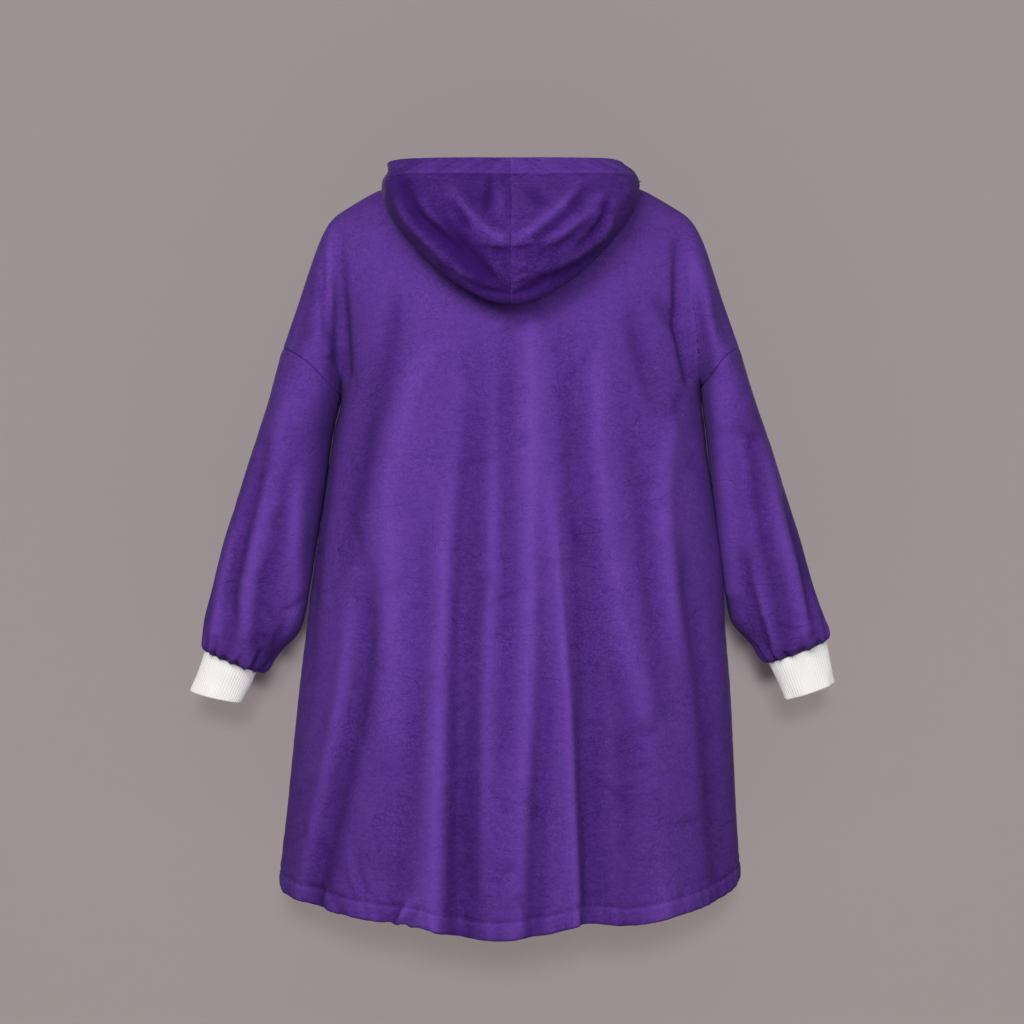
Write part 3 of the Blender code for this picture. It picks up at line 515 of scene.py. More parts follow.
def casing(height, along, width, seed):
    """Lift of a turned and stitched casing: a low swell, a groove at its stitches, and gathers across both.
    """
    swell = HEM_SWELL * np.sin(np.clip(height / width, 0, 1) * math.pi) ** HEM_SWELL_POWER
    groove = -HEM_GROOVE * bell(height, width, HEM_GROOVE_REACH)
    ridge = HEM_SWELL / 2 * bell(height, width + HEM_RIDGE_ABOVE, HEM_RIDGE_REACH)
    fade = np.exp(-(np.clip(height - width, 0, None) / GATHER_FADE))
    gathers = FINE_GATHER_SHARE * uneven_waves(along + FINE_GATHER_SLANT * height, FINE_GATHERS, seed)
    gathers = gathers + uneven_waves(along, BROAD_GATHERS, seed + 1)
    return swell + groove + ridge + HEM_PUCKER * gathers * fade


def casing_shade(height, lift, width):
    """Painted highlight and shade of a casing: light on its gathers and on the ridge below its stitches, dark
    in their groove.
    """
    groove = GROOVE_SHADE * bell(height, width, GROOVE_SHADE_REACH)
    ridge = RIDGE_LIGHT * bell(height, width - RIDGE_LIGHT_BELOW, RIDGE_LIGHT_REACH)
    within = 1 - smoothstep(width, width + GATHER_SHADE_BLEND, height)
    return lift / GATHER_SHADE_TURN * within - groove + ridge


def seam_dip(away, along, seed):
    """Lift beside a sewn seam: the cloth dips into it, stands a little beyond, and is drawn into puckers."""
    stand = SEAM_STAND * bell(away, SEAM_STAND_AWAY, SEAM_STAND_REACH)
    puckers = SEAM_PUCKER * uneven_waves(along, SEAM_PUCKERS, seed) * np.exp(-away / SEAM_PUCKER_REACH)
    return stand + puckers - SEAM_DIP * bell(away, 0, SEAM_DIP_REACH)


def body_panel(face, folds, seeds):
    """Outer points of a body panel with folds, crushed hairlines, rumples, seam dips and the hem casing."""
    length = BODY["drop"][-1] - BODY["drop"][0]
    above_casing = np.linspace(FIRST_ROW / length, 1, TUBE_ROWS)
    tube_share = np.concatenate([np.array(CASING_ROWS) / length, above_casing])
    points, across = panel_form(face, PANEL_HALF_COLUMNS, tube_share, yoke_shares(*YOKE_ROWS))
    x, drop = points[..., 0], -points[..., 2]
    normal = normals_of(points) * -OUTWARD[face]
    along = run_along(points, 0)
    side_ways = run_along(points, 1)
    from_left, from_right = side_ways, side_ways[:, -1:] - side_ways
    from_seam = np.minimum(from_left, from_right)
    lift = folds_lift(x, drop, folds)
    crushed = folds_lift(x, drop, hairlines(PANEL_HAIRLINES, (-260, 60), (260, 860), seeds["hairlines"]))
    # Painted shade in fold and crease troughs, painted highlight on their ridges, painted shade towards the
    # hem
    nap_and_painted_shade = np.tanh(lift / FOLD_SHADE_TURN) + crushed / HAIRLINE_TURN - LOW_SHADE * smoothstep(*LOW_SHADE_DROPS, drop)
    lift += crushed
    for size, height, seed in RUMPLES:
        lift += height * rumple(points, size * RUMPLE_STRETCH, seed)
    lift *= smoothstep(0, FOLDS_FROM_SEAM, from_seam) * smoothstep(0, FOLDS_FROM_TOP, along[-1:] - along)
    under_arm = smoothstep(*UNDERARM_BLEND, drop)
    by_sleeve = under_arm * (1 - smoothstep(*SLEEVE_END_BLEND, drop))
    lift += ARM_SWELL * by_sleeve * bell(from_seam, 0, ARM_SWELL_REACH)
    lift += seam_dip(from_left, along, seeds["left_seam"]) + seam_dip(from_right, along, seeds["right_seam"])
    turned_up = casing(along, side_ways, HEM_HEIGHT, seeds["hem"])
    lift += turned_up
    # Painted shade and highlight of the hem casing
    nap_and_painted_shade += casing_shade(along, turned_up, HEM_HEIGHT)
    neck = np.where(across < NECK_SHARE, along[-1:] - along, 1)
    lift += seam_dip(neck, side_ways, seeds["neck"])
    thickness = FLEECE + (HEM_THICKNESS - FLEECE) * (along < HEM_HEIGHT + MILLIMETRE)
    points = points + normal * lift[..., None]
    points[..., 1] += SIDE_SEAM_LEAN * np.sign(x) * np.exp(-from_seam / SEAM_LEAN_REACH) * under_arm
    return points, thickness, nap_and_painted_shade


def mesh_object(name, places, faces, finish):
    """A smooth mesh of one material, linked to the scene."""
    mesh = bpy.data.meshes.new(name)
    mesh.from_pydata(places, [], faces)
    mesh.materials.append(finish)
    mesh.shade_smooth()
    made = bpy.data.objects.new(name, mesh)
    bpy.context.scene.collection.objects.link(made)
    return made


def shell(name, outer, thickness, sign, finish, closed=False, round_first=0, round_last=0):
    """A closed cloth shell: the outer grid, an inner grid of every second point set in by the thickness,
    and rims.

    A rounded rim has rows on a half circle from the outer edge to the inner one. The last step to the
    inner grid takes two outer steps to one inner step.
    """
    normal = normals_of(outer, closed) * sign
    thickness = np.broadcast_to(thickness, outer.shape[:2])
    inner = (outer - normal * thickness[..., None])[::2, ::2]
    rows, columns = outer.shape[:2]
    places = [outer.reshape(-1, 3), inner.reshape(-1, 3)]
    outer_index = np.arange(rows * columns).reshape(rows, columns)
    inner_index = rows * columns + np.arange(inner.shape[0] * inner.shape[1]).reshape(inner.shape[:2])
    total = rows * columns + inner_index.size

    def onward(index):
        return np.concatenate([index, index[:, :1]], axis=1) if closed else index

    def quads(index):
        index = onward(index)
        corners = [index[:-1, :-1], index[:-1, 1:], index[1:, 1:], index[1:, :-1]]
        return np.stack(corners, axis=2).reshape(-1, 4)

    def bridge(edge, coarse):
        return np.stack([edge[:-2:2], edge[1:-1:2], edge[2::2], coarse[1:], coarse[:-1]], axis=1)

    faces = [quads(outer_index), quads(inner_index)[:, ::-1]]
    edges = {}
    for end, steps in ((0, round_first), (-1, round_last)):
        outward = outer[end] - outer[1 if end == 0 else -2]
        outward /= np.linalg.norm(outward, axis=1, keepdims=True)
        half = thickness[end, :, None] / 2
        turn = (np.arange(1, steps + 1) / (steps + 1) * math.pi)[:, None, None]
        middle = outer[end] - normal[end] * half
        rim = middle + half * (np.cos(turn) * normal[end] + np.sin(turn) * outward)
        places.append(rim.reshape(-1, 3))
        rim_index = total + np.arange(steps * columns).reshape(steps, columns)
        total += rim_index.size
        strip = np.concatenate([outer_index[end][None], rim_index])
        turned = quads(strip)[:, ::-1] if end == 0 else quads(strip)
        across = bridge(onward(strip[-1:])[0], onward(inner_index[end][None])[0])
        faces += [turned, across[:, ::-1] if end == 0 else across]
        edges[end] = rim_index
    if not closed:
        for column in (0, -1):
            side_faces = bridge(outer_index[:, column], inner_index[:, column]).tolist()
            side_faces[0] += edges[0][:, column][::-1].tolist()
            side_faces[-1] = side_faces[-1][:3] + edges[-1][:, column].tolist() + side_faces[-1][3:]
            faces.append([face if column == 0 else face[::-1] for face in side_faces])
    all_faces = [face for group in faces for face in np.asarray(group, object).tolist()]
    if sign < 0:
        all_faces = [face[::-1] for face in all_faces]
    return mesh_object(name, np.concatenate(places).tolist(), all_faces, finish)


def set_attribute(made, name, values):
    """A number at each vertex. The values cover the outer grid, and the rest takes the grid's mean."""
    attribute = made.data.attributes.new(name, "FLOAT", "POINT")
    filled = np.full(len(made.data.vertices), float(values.mean()), dtype=np.float32)
    filled[: values.size] = values.reshape(-1)
    attribute.data.foreach_set("value", filled)


STITCH_PITCH = 0.0034
STITCH_LENGTH = 0.0027
THREAD_RADIUS = 0.00036
BEAD = ((-1.0, 0.3), (-0.6, 0.9), (0.0, 1.0), (0.6, 0.9), (1.0, 0.3))


def stitches(name, path, outward, finish):
    """A row of thread stitches along a path: six-sided beads a pitch apart whose ends dip into the cloth."""
    step = np.linalg.norm(np.diff(path, axis=0), axis=1)
    run = np.concatenate([[0], np.cumsum(step)])
    at = np.arange(STITCH_PITCH, run[-1] - STITCH_PITCH, STITCH_PITCH)
    centre = np.stack([np.interp(at, run, path[:, i]) for i in range(3)], axis=1)
    ahead = np.stack([np.interp(at + STITCH_PITCH / 2, run, path[:, i]) for i in range(3)], axis=1) - centre
    ahead /= np.linalg.norm(ahead, axis=1, keepdims=True)
    up = np.stack([np.interp(at, run, outward[:, i]) for i in range(3)], axis=1)
    beside = np.cross(ahead, up)
    turn = np.arange(6) * math.pi / 3
    place = np.array(BEAD)[:, 0][None, :, None, None]
    size = np.array(BEAD)[:, 1][None, :, None, None] * THREAD_RADIUS
    beads = centre[:, None, None] + ahead[:, None, None] * place * STITCH_LENGTH / 2
    beads = beads + size * np.cos(turn)[None, None, :, None] * beside[:, None, None]
    beads = beads + (size * np.sin(turn)[None, None, :, None] - THREAD_RADIUS * place**2) * up[:, None, None]
    ring = np.arange(30).reshape(5, 6)
    after = np.roll(ring, -1, axis=1)
    sides = np.stack([ring[:-1], ring[1:], after[1:], after[:-1]], axis=2).reshape(-1, 4)
    faces = []
    for first in range(0, 30 * len(at), 30):
        faces += (sides + first).tolist() + [(ring[0] + first).tolist(), (ring[-1, ::-1] + first).tolist()]
    made = mesh_object(name, beads.reshape(-1, 3).tolist(), faces, finish)
    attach(made, "root")
    return made


def stitch_row(name, points, sign, row, finish):
    """Stitches that lie on a row of a grid of points."""
    normal = normals_of(points)[row] * sign
    return stitches(name, points[row] + normal * THREAD_RADIUS * 0.4, normal, finish)


def new_group(name, inputs, outputs):
    """An empty shader node group with number or vector sockets, and its input and output nodes."""
    tree = bpy.data.node_groups.new(name, "ShaderNodeTree")
    for label, kind in inputs:
        tree.interface.new_socket(label, in_out="INPUT", socket_type=kind)
    for label, kind in outputs:
        tree.interface.new_socket(label, in_out="OUTPUT", socket_type=kind)
    return tree, tree.nodes.new("NodeGroupInput"), tree.nodes.new("NodeGroupOutput")


def add_node(tree, kind, settings=None, **inputs):
    """A node with its settings, whose inputs take numbers or are linked to the sockets given."""
    node = tree.nodes.new(kind)
    for label, value in (settings or {}).items():
        setattr(node, label, value)
    for label, value in inputs.items():
        socket = node.inputs[int(label[1:]) if label[1:].isdigit() else label.replace("_", " ")]
        if isinstance(value, bpy.types.NodeSocket):
            tree.links.new(value, socket)
        else:
            socket.default_value = value
    return node


def calculate(tree, operation, *values):
    """The output of a Math node."""
    numbered = {f"i{i}": value for i, value in enumerate(values)}
    return add_node(tree, "ShaderNodeMath", {"operation": operation}, **numbered).outputs[0]


def ranged(tree, value, low, high, new_low=0.0, new_high=1.0):
    """A value stepped smoothly from one range to another."""
    node = add_node(tree, "ShaderNodeMapRange", {"interpolation_type": "SMOOTHSTEP"}, Value=value)
    for label, number in zip(("From Min", "From Max", "To Min", "To Max"), (low, high, new_low, new_high)):
        node.inputs[label].default_value = number
    return node.outputs[0]


def noise(tree, vector, scale, detail, roughness=0.5, stretch=(1, 1, 1)):
    """A noise of a scale in turns per metre, on a vector that is stretched first."""
    mapped = add_node(tree, "ShaderNodeMapping", Vector=vector, Scale=stretch).outputs[0]
    kind = "ShaderNodeTexNoise"
    return add_node(tree, kind, Vector=mapped, Scale=scale, Detail=detail, Roughness=roughness).outputs[0]


def contour_lines(tree, vector, scale, width, stretch):
    """Thin curved lines: 1 where a stretched noise passes its middle value, falling to 0 within a width."""
    off_middle = calculate(tree, "SUBTRACT", noise(tree, vector, scale, 1, 0.5, stretch), 0.5)
    return ranged(tree, calculate(tree, "ABSOLUTE", off_middle), 0, width, 1, 0)


def crack_lines(tree, vector, scale, width):
    """1 on the borders of uneven cells, falling to 0 within a width of them."""
    made = add_node(tree, "ShaderNodeTexVoronoi", {"feature": "DISTANCE_TO_EDGE"}, Vector=vector, Scale=scale)
    return ranged(tree, made.outputs[0], 0, width, 1, 0)


MEAN_TONE = 0.60
CRAZED_MEAN = 0.42
# Noises of the pile: turns a metre, detail, roughness and stretch
PILE_NOISES = {
    "nap_and_painted_shade": (26, 3, 0.55, (1, 1, 0.6)),
    "mottle": (230, 4, 0.7, (0.7, 0.7, 1.3)),
    "brushed": (95, 4, 0.65, (0.6, 0.6, 1.7)),
    "fuzz": (560, 2, 0.7),
}
# Layers of the pile: the value that is its middle, its weight in the tone, and its height in millimetres
PILE_LAYERS = {
    "nap_and_painted_shade": (0.5, 0.20, 0.80),
    "mottle": (0.5, 0.50, 0.40),
    "brushed": (0.5, 0.30, 0.45),
    "fuzz": (0.5, 0.60, 0.10),
    # The hairline creases and cracks are grooves whose darker tone is painted shade
    "creases_and_shade": (0, -0.13, -0.40),
    "cracks_and_shade": (0, -0.16, -0.20),
}


def crushed_pile():
    """Group for a short brushed pile: its tone from 0 to 1 and its height in millimetres.

    The pile lies over in patches, is mottled, has faint lines down the nap and a fuzz at its surface.
    Hairline creases cross it where it was crushed, and elsewhere fine cracks between uneven cells.
    Both are grooves, and their darker tone is painted shade.
    """
    outputs = [("Tone", "NodeSocketFloat"), ("Height", "NodeSocketFloat")]
    tree, inside, out = new_group("crushed_pile", [("Vector", "NodeSocketVector")], outputs)
    vector = inside.outputs["Vector"]
    layers = {name: noise(tree, vector, *row) for name, row in PILE_NOISES.items()}
    level = contour_lines(tree, vector, 19, 0.015, (0.7, 0.7, 1.7))
    slant = contour_lines(tree, vector, 21, 0.013, (1.5, 1.5, 0.8))
    crushed = ranged(tree, noise(tree, vector, 30, 2), 0.50, 0.64)
    layers["creases_and_shade"] = calculate(tree, "MULTIPLY", calculate(tree, "MAXIMUM", level, slant), crushed)
    warp = add_node(tree, "ShaderNodeTexNoise", Vector=vector, Scale=60.0, Detail=4.0)
    shift = add_node(tree, "ShaderNodeVectorMath", {"operation": "SCALE"}, i0=warp.outputs[1], Scale=0.030)
    bent = add_node(tree, "ShaderNodeVectorMath", {"operation": "ADD"}, i0=vector, i1=shift.outputs[0])
    cracks = calculate(tree, "SUBTRACT", crack_lines(tree, bent.outputs[0], 190, 0.17), CRAZED_MEAN)
    brittle = ranged(tree, noise(tree, vector, 11, 2, 0.5, (1, 1, 1.4)), 0.42, 0.60)
    layers["cracks_and_shade"] = calculate(tree, "MULTIPLY", cracks, brittle)
    tone, height = MEAN_TONE, 0.0
    for name, (middle, tone_weight, rise) in PILE_LAYERS.items():
        over_middle = calculate(tree, "SUBTRACT", layers[name], middle)
        tone = calculate(tree, "MULTIPLY_ADD", over_middle, tone_weight, tone)
        height = calculate(tree, "MULTIPLY_ADD", over_middle, rise, height)
    tree.links.new(tone, out.inputs["Tone"])
    tree.links.new(height, out.inputs["Height"])
    return tree


def new_material(name, inputs):
    """A material, its node tree and its main shader, whose inputs take numbers or colours."""
    made = bpy.data.materials.new(name)
    made.use_nodes = True
    shader = made.node_tree.nodes["Principled BSDF"]
    for label, value in inputs.items():
        shader.inputs[label].default_value = value
    return made, made.node_tree, shader


def cover(tree, shader, share, low, high, height, strength):
    """The shader's base colour as a mix of two colours by a share, and its normal bumped by a height."""
    mixed = add_node(tree, "ShaderNodeMix", {"data_type": "RGBA"}, i0=share, i6=(*low, 1), i7=(*high, 1))
    tree.links.new(mixed.outputs[2], shader.inputs["Base Color"])
    bump = add_node(tree, "ShaderNodeBump", Height=height, Distance=MILLIMETRE, Strength=strength)
    tree.links.new(bump.outputs[0], shader.inputs["Normal"])


PILE = crushed_pile()
# How much painted shade and highlight from the vertex attribute move the tone
PAINTED_SHADE_WEIGHT = 0.30
# Painted shade where the cloth turns away from the camera: its weight and power
EDGE_SHADE_WEIGHT = 0.55
EDGE_SHADE_POWER = 3.2
DARKEST_BLEND = 0.45
PILE_BUMP = 0.8
FLEECE_SHADER = {
    "Specular IOR Level": 0.02,
    "Sheen Weight": 0.05,
    "Sheen Roughness": 0.45,
    "Sheen Tint": (0.62, 0.45, 1.0, 1),
}


def fleece(name, deep, light):
    """Dyed flannel fleece: the pile's tone mixes a deep colour with a light one, under a soft sheen.

    Painted shade darkens the troughs of the folds and painted highlight lightens their ridges, as a vertex
    attribute gives. Painted shade darkens the cloth where it turns away, but never below the deep colour.
    """
    made, tree, shader = new_material(name, FLEECE_SHADER)
    place = add_node(tree, "ShaderNodeTexCoord").outputs["Object"]
    pile = add_node(tree, "ShaderNodeGroup", {"node_tree": PILE}, Vector=place)
    # Painted shade and highlight from the vertex attribute
    nap_and_painted_shade = add_node(tree, "ShaderNodeAttribute", {"attribute_name": "nap_and_painted_shade"}).outputs["Fac"]
    turned = calculate(tree, "MULTIPLY_ADD", nap_and_painted_shade, PAINTED_SHADE_WEIGHT, pile.outputs["Tone"])
    # Painted shade where the cloth turns away from the camera
    facing = add_node(tree, "ShaderNodeLayerWeight", Blend=0.4).outputs["Facing"]
    rim = calculate(tree, "MULTIPLY", calculate(tree, "POWER", facing, EDGE_SHADE_POWER), EDGE_SHADE_WEIGHT)
    share = calculate(tree, "SMOOTH_MAX", calculate(tree, "SUBTRACT", turned, rim), 0.0, DARKEST_BLEND)
    cover(tree, shader, share, deep, light, pile.outputs["Height"], PILE_BUMP)
    tree.links.new(ranged(tree, pile.outputs["Tone"], 0.2, 0.8, 0.92, 0.80), shader.inputs["Roughness"])
    return made


purple_fleece = fleece("purple_fleece", (0.022, 0.0048, 0.076), (0.1135, 0.0440, 0.290))
back_seeds = {"hairlines": HAIRLINE_SEED, "left_seam": 21, "right_seam": 22, "hem": 23, "neck": 24}
back_points, back_wall, back_painted_shade = body_panel(BACK, BACK_FOLDS, back_seeds)
back = shell("back_cloth", back_points, back_wall, 1, purple_fleece, round_first=4)
# The painted shade and highlight go on the cloth as a vertex attribute
set_attribute(back, "nap_and_painted_shade", back_painted_shade)
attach(back, "root")
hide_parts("back")
HEM_STITCH_ROW = 11
back_hem_stitches = stitch_row("back_hem_stitches", back_points, 1, HEM_STITCH_ROW, purple_fleece)


# The front is cut like the back but with a deeper, rounder neck. It meets the back at the side seams and
# along the shoulder line, and its own folds hang from the chest.
# Their rises also set painted shade in the troughs and painted highlight on the ridges.
FRONT_FOLDS = (
    (((-40, 200), (-62, 400), (-74, 600), (-82, 900)), (0, -6, -9, -16), 18, 30),
    (((38, 240), (50, 440), (58, 660), (64, 900)), (0, -6, -8, -15), 28, 18),
    (((-2, 360), (-8, 600), (-8, 900)), (0, 4, 9), 20, 24),
    (((118, 180), (148, 360), (168, 600), (180, 900)), (0, -6, -9, -14), 20, 28),
    (((-128, 190), (-158, 400), (-176, 620), (-192, 900)), (0, -7, -10, -15), 26, 20),
    (((205, 420), (234, 620), (254, 880)), (0, -7, -10), 20, 22),
    (((-214, 480), (-234, 660), (-250, 880)), (0, -5, -8), 20, 20),
    (((110, 400), (118, 620), (122, 900)), (0, 3, 7), 18, 22),
    (((-118, 420), (-130, 640), (-136, 900)), (0, 4, 7), 22, 16),
    (((-50, 110), (0, 124), (54, 112)), (0, -3.5, 0), 8, 12),
    (((-80, 124), (-6, 152), (70, 128)), (0, -2.5, 0), 10, 14),
    (((-200, 130), (-184, 180), (-150, 226)), (0, -3.5, 0), 10, 13),
    (((206, 126), (190, 176), (160, 220)), (0, -3.5, 0), 12, 10),
    (((30, 740), (26, 820), (24, 900)), (0, -3, -6), 12, 12),
    (((-220, 820), (-206, 862), (-196, 900)), (0, -2, -2), 7, 8),
)
front_seeds = {"hairlines": 31, "left_seam": 32, "right_seam": 33, "hem": 34, "neck": 35}
front_points, front_wall, front_painted_shade = body_panel(FRONT, FRONT_FOLDS, front_seeds)
front = shell("front_cloth", front_points, front_wall, -1, purple_fleece, round_first=4)
# The painted shade and highlight go on the cloth as a vertex attribute
set_attribute(front, "nap_and_painted_shade", front_painted_shade)
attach(front, "root")
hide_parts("front")
front_hem_stitches = stitch_row("front_hem_stitches", front_points, -1, HEM_STITCH_ROW, purple_fleece)


# Each sleeve is one piece of the fleece, sewn up under the arm and set to the body's dropped armhole. It
# tapers a little, hangs in long folds and is gathered into the cuff, over which it blouses.
SLEEVE_SHARES = (0.0, 0.17, 0.34, 0.50, 0.66, 0.82, 0.92, 0.975, 1.0)
SLEEVE_DEPTHS = (0.0780, 0.0770, 0.0735, 0.0685, 0.0620, 0.0545, 0.0480, 0.0400, 0.0240)
SLEEVE_EDGES = {
    LEFT: {
        "outer_x": (0.2885, 0.3072, 0.3280, 0.3465, 0.3640, 0.3800, 0.3895, 0.3915, 0.3875),
        "outer_drop": (0.1925, 0.2570, 0.3200, 0.3800, 0.4380, 0.5020, 0.5420, 0.5640, 0.5755),
        "inner_x": (0.2150, 0.2290, 0.2375, 0.2470, 0.2560, 0.2667, 0.2975, 0.3135, 0.3230),
        "inner_drop": (0.2525, 0.3120, 0.3750, 0.4350, 0.4920, 0.5460, 0.5820, 0.6010, 0.6020),
    },
    RIGHT: {
        "outer_x": (0.2885, 0.3086, 0.3295, 0.3490, 0.3672, 0.3843, 0.3965, 0.4015, 0.4000),
        "outer_drop": (0.1925, 0.2570, 0.3170, 0.3770, 0.4370, 0.4970, 0.5340, 0.5530, 0.5630),
        "inner_x": (0.2400, 0.2490, 0.2565, 0.2645, 0.2715, 0.2785, 0.3050, 0.3190, 0.3285),
        "inner_drop": (0.2410, 0.3020, 0.3640, 0.4230, 0.4790, 0.5330, 0.5680, 0.5860, 0.5905),
    },
}
# Folds on the back half of each sleeve and like ones on its front half, in millimetres
# Their rises also set painted shade in the troughs and painted highlight on the ridges.
SLEEVE_FOLDS = {
    (LEFT, BACK): (
        (
            ((-300, 300), (-314, 360), (-336, 434), (-351, 500), (-349, 536), (-357, 573)),
            (0, -4, -6, -7, -6, -3), 8, 12,
        ),
        (((-262, 290), (-287.7, 434), (-305, 496), (-313.7, 600)), (0, -4, -6, -4), 11, 12),
        (((-272, 240), (-297.6, 344), (-323.6, 479), (-334, 550)), (0, 2, 4, 2), 12, 10),
        (((-330, 380), (-360, 475), (-371, 550)), (0, 3, 3), 8, 7),
        (((-262, 360), (-268, 440), (-268, 500), (-278, 550)), (2, 5, 5, 3), 10, 12),
        (((-276, 525), (-292, 560), (-300, 590)), (0, -3, 0), 6, 6),
        (((-258, 500), (-276, 520), (-292, 524)), (0, -2.5, 0), 5, 6),
    ),
    (RIGHT, BACK): (
        (((250, 240), (256, 280), (266, 385), (276, 500)), (3, 5, 6, 4), 8, 10),
        (
            ((290, 270), (302, 331), (315, 420), (338, 520), (341, 555), (348, 582)),
            (0, -4, -6, -6, -5, -2), 11, 10,
        ),
        (((312, 280), (324.9, 344), (347.2, 447), (372, 545)), (0, 2, 4, 3), 10, 9),
        (((338, 360), (350, 410), (369, 478), (379.5, 550)), (0, -4, -5, -3), 8, 7),
        (((284, 440), (300, 510), (314, 555), (322, 580)), (0, -4, -5, -2), 8, 9),
        (((296, 460), (316, 530), (330, 570)), (0, 3, 2), 6, 6),
        (((282, 500), (298, 535), (304, 560)), (0, -2, 0), 5, 5),
    ),
    (LEFT, FRONT): (
        (((-290, 270), (-304, 360), (-330, 460), (-348, 560)), (0, -4, -6, -5), 10, 13),
        (((-250, 300), (-268, 400), (-292, 490), (-318, 590)), (0, -4, -5, -4), 12, 10),
        (((-318, 340), (-344, 440), (-366, 540)), (0, 3, 3), 9, 8),
        (((-270, 360), (-300, 460), (-326, 560)), (0, 3, 3), 10, 9),
        (((-250, 460), (-272, 475), (-296, 470)), (0, -2.5, 0), 6, 8),
    ),
    (RIGHT, FRONT): (
        (((294, 270), (312, 370), (336, 460), (360, 560)), (0, -4, -6, -5), 12, 10),
        (((262, 300), (278, 390), (302, 490), (326, 580)), (0, -4, -5, -4), 10, 12),
        (((322, 340), (350, 440), (374, 530)), (0, 3, 3), 9, 8),
        (((282, 360), (308, 460), (336, 560)), (0, 3, 3), 9, 10),
        (((270, 450), (292, 466), (318, 462)), (0, -2.5, 0), 6, 8),
    ),
}
SLEEVE_COLUMNS = 200
SLEEVE_HAIRLINES = 34
# How sharply sleeve fold rises turn into painted shade and painted highlight
SLEEVE_FOLD_SHADE_TURN = 0.0034
SLEEVE_RADIUS = 0.06
INNER_SIDE_REACH = 0.45
GATHERS = 13
GATHER_DEPTH = 0.0032
GATHER_PRESS = 0.75
GATHER_PRESS_REACH = 0.004
CUFF_RECESS = 0.0012
CUFF_RECESS_REACH = 0.0030


def sleeve_edges(side, share):
    """Outer edge, inner edge and half depth of a sleeve at shares from the armhole (0) to the cuff seam (1).
    """
    at = {name: through(SLEEVE_SHARES, row, share) for name, row in SLEEVE_EDGES[side].items()}
    depth = through(SLEEVE_SHARES, SLEEVE_DEPTHS, share)
    return (at["outer_x"], at["outer_drop"]), (at["inner_x"], at["inner_drop"]), depth


def two_paces(turn, first, second):
    """Shares from 0 to 1 as a column: a count of even ones up to the turn, then a count of finer ones."""
    return np.concatenate([np.linspace(0, turn, first)[:-1], np.linspace(turn, 1, second)])[:, None]


def armhole(side, angle):
    """Armhole seam round the arm, one seam gap outside the body panels' edge."""
    share = (1 + np.cos(angle)) / 2
    one = np.ones_like(share)
    x, back, drop = yoke(BACK, side, one, share)
    front = yoke(FRONT, side, one, share)[1]
    depth = np.where(np.sin(angle) >= 0, -back, front)
    away = SEAM_GAP * seam_away(side)
    return np.stack([SIGN[side] * (x + away[0]), depth, -drop - away[1]], axis=-1)


def sleeve_form(side, share, angle):
    """Sleeve without its folds: an ellipse at each share of its length, turned into the armhole at its top.
    """
    (outer_x, outer_drop), (inner_x, inner_drop), depth = sleeve_edges(side, share)
    swing = (1 + np.cos(angle)) / 2
    x = inner_x + (outer_x - inner_x) * swing
    drop = inner_drop + (outer_drop - inner_drop) * swing
    ring = np.stack([SIGN[side] * x, -depth * np.sin(angle), -drop], axis=2)
    seam = armhole(side, angle[0])[None]
    blend = (1 - smoothstep(0.0, 0.22, share))[..., None]
    return ring * (1 - blend) + (seam - ring[:1] + ring) * blend


def sleeve(side, seed):
    """Outer points of a sleeve in rings from the armhole to the cuff, with folds, gathers, rumples and
    seams.
    """
    share = two_paces(0.8, 131, 70)
    angle = np.linspace(0, 2 * math.pi, SLEEVE_COLUMNS, endpoint=False)[None]
    points = sleeve_form(side, share, angle)
    x, drop = points[..., 0], -points[..., 2]
    normal = normals_of(points, closed=True) * SIGN[side]
    along = run_along(points, 0)
    round_it = run_along(points, 1)
    lift = np.zeros_like(x)
    crushed = np.zeros_like(x)
    middle = SIGN[side] * 320
    for face in (BACK, FRONT):
        toward = smoothstep(-0.05, 0.25, -OUTWARD[face] * np.sin(angle))
        lift += toward * folds_lift(x, drop, SLEEVE_FOLDS[side, face])
        marks = hairlines(SLEEVE_HAIRLINES, (middle - 60, 260), (middle + 60, 560), seed + len(face))
        crushed += toward * folds_lift(x, drop, marks)
    # Painted shade in the troughs of the folds and creases, painted highlight on their ridges
    nap_and_painted_shade = np.tanh(lift / SLEEVE_FOLD_SHADE_TURN) + crushed / HAIRLINE_TURN
    lift += crushed
    inner = bell(angle, math.pi, INNER_SIDE_REACH)
    for size, height, noise_seed in RUMPLES:
        lift += (1 - 0.8 * inner) * height * rumple(points, size * RUMPLE_STRETCH, noise_seed)
    lift += ARM_SWELL * inner * smoothstep(0.1, 0.3, share) * (1 - smoothstep(0.75, 0.9, share))
    to_cuff = along[-1:] - along
    lift *= smoothstep(0, 0.012, along) * smoothstep(0, 0.012, to_cuff)
    warped = GATHERS * angle + 0.9 * np.sin(2 * angle + seed) + 0.7 * np.sin(3 * angle - seed) + 3 * share
    rise = smoothstep(0, 1, 1 - to_cuff / (0.030 + 0.028 * (0.5 + 0.5 * np.sin(5 * angle + seed))))
    press = 1 - GATHER_PRESS * bell(to_cuff, 0, GATHER_PRESS_REACH)
    lift += GATHER_DEPTH * rise * press * (np.cos(warped) - 0.25 * np.cos(2 * warped + 1))
    lift += seam_dip(along, round_it, seed)
    lift -= CUFF_RECESS * bell(to_cuff, 0, CUFF_RECESS_REACH)
    from_under_seam = np.abs(angle - math.pi) * SLEEVE_RADIUS
    lift += seam_dip(from_under_seam + 0 * share, along, seed + 3)
    return points + normal * lift[..., None], nap_and_painted_shade


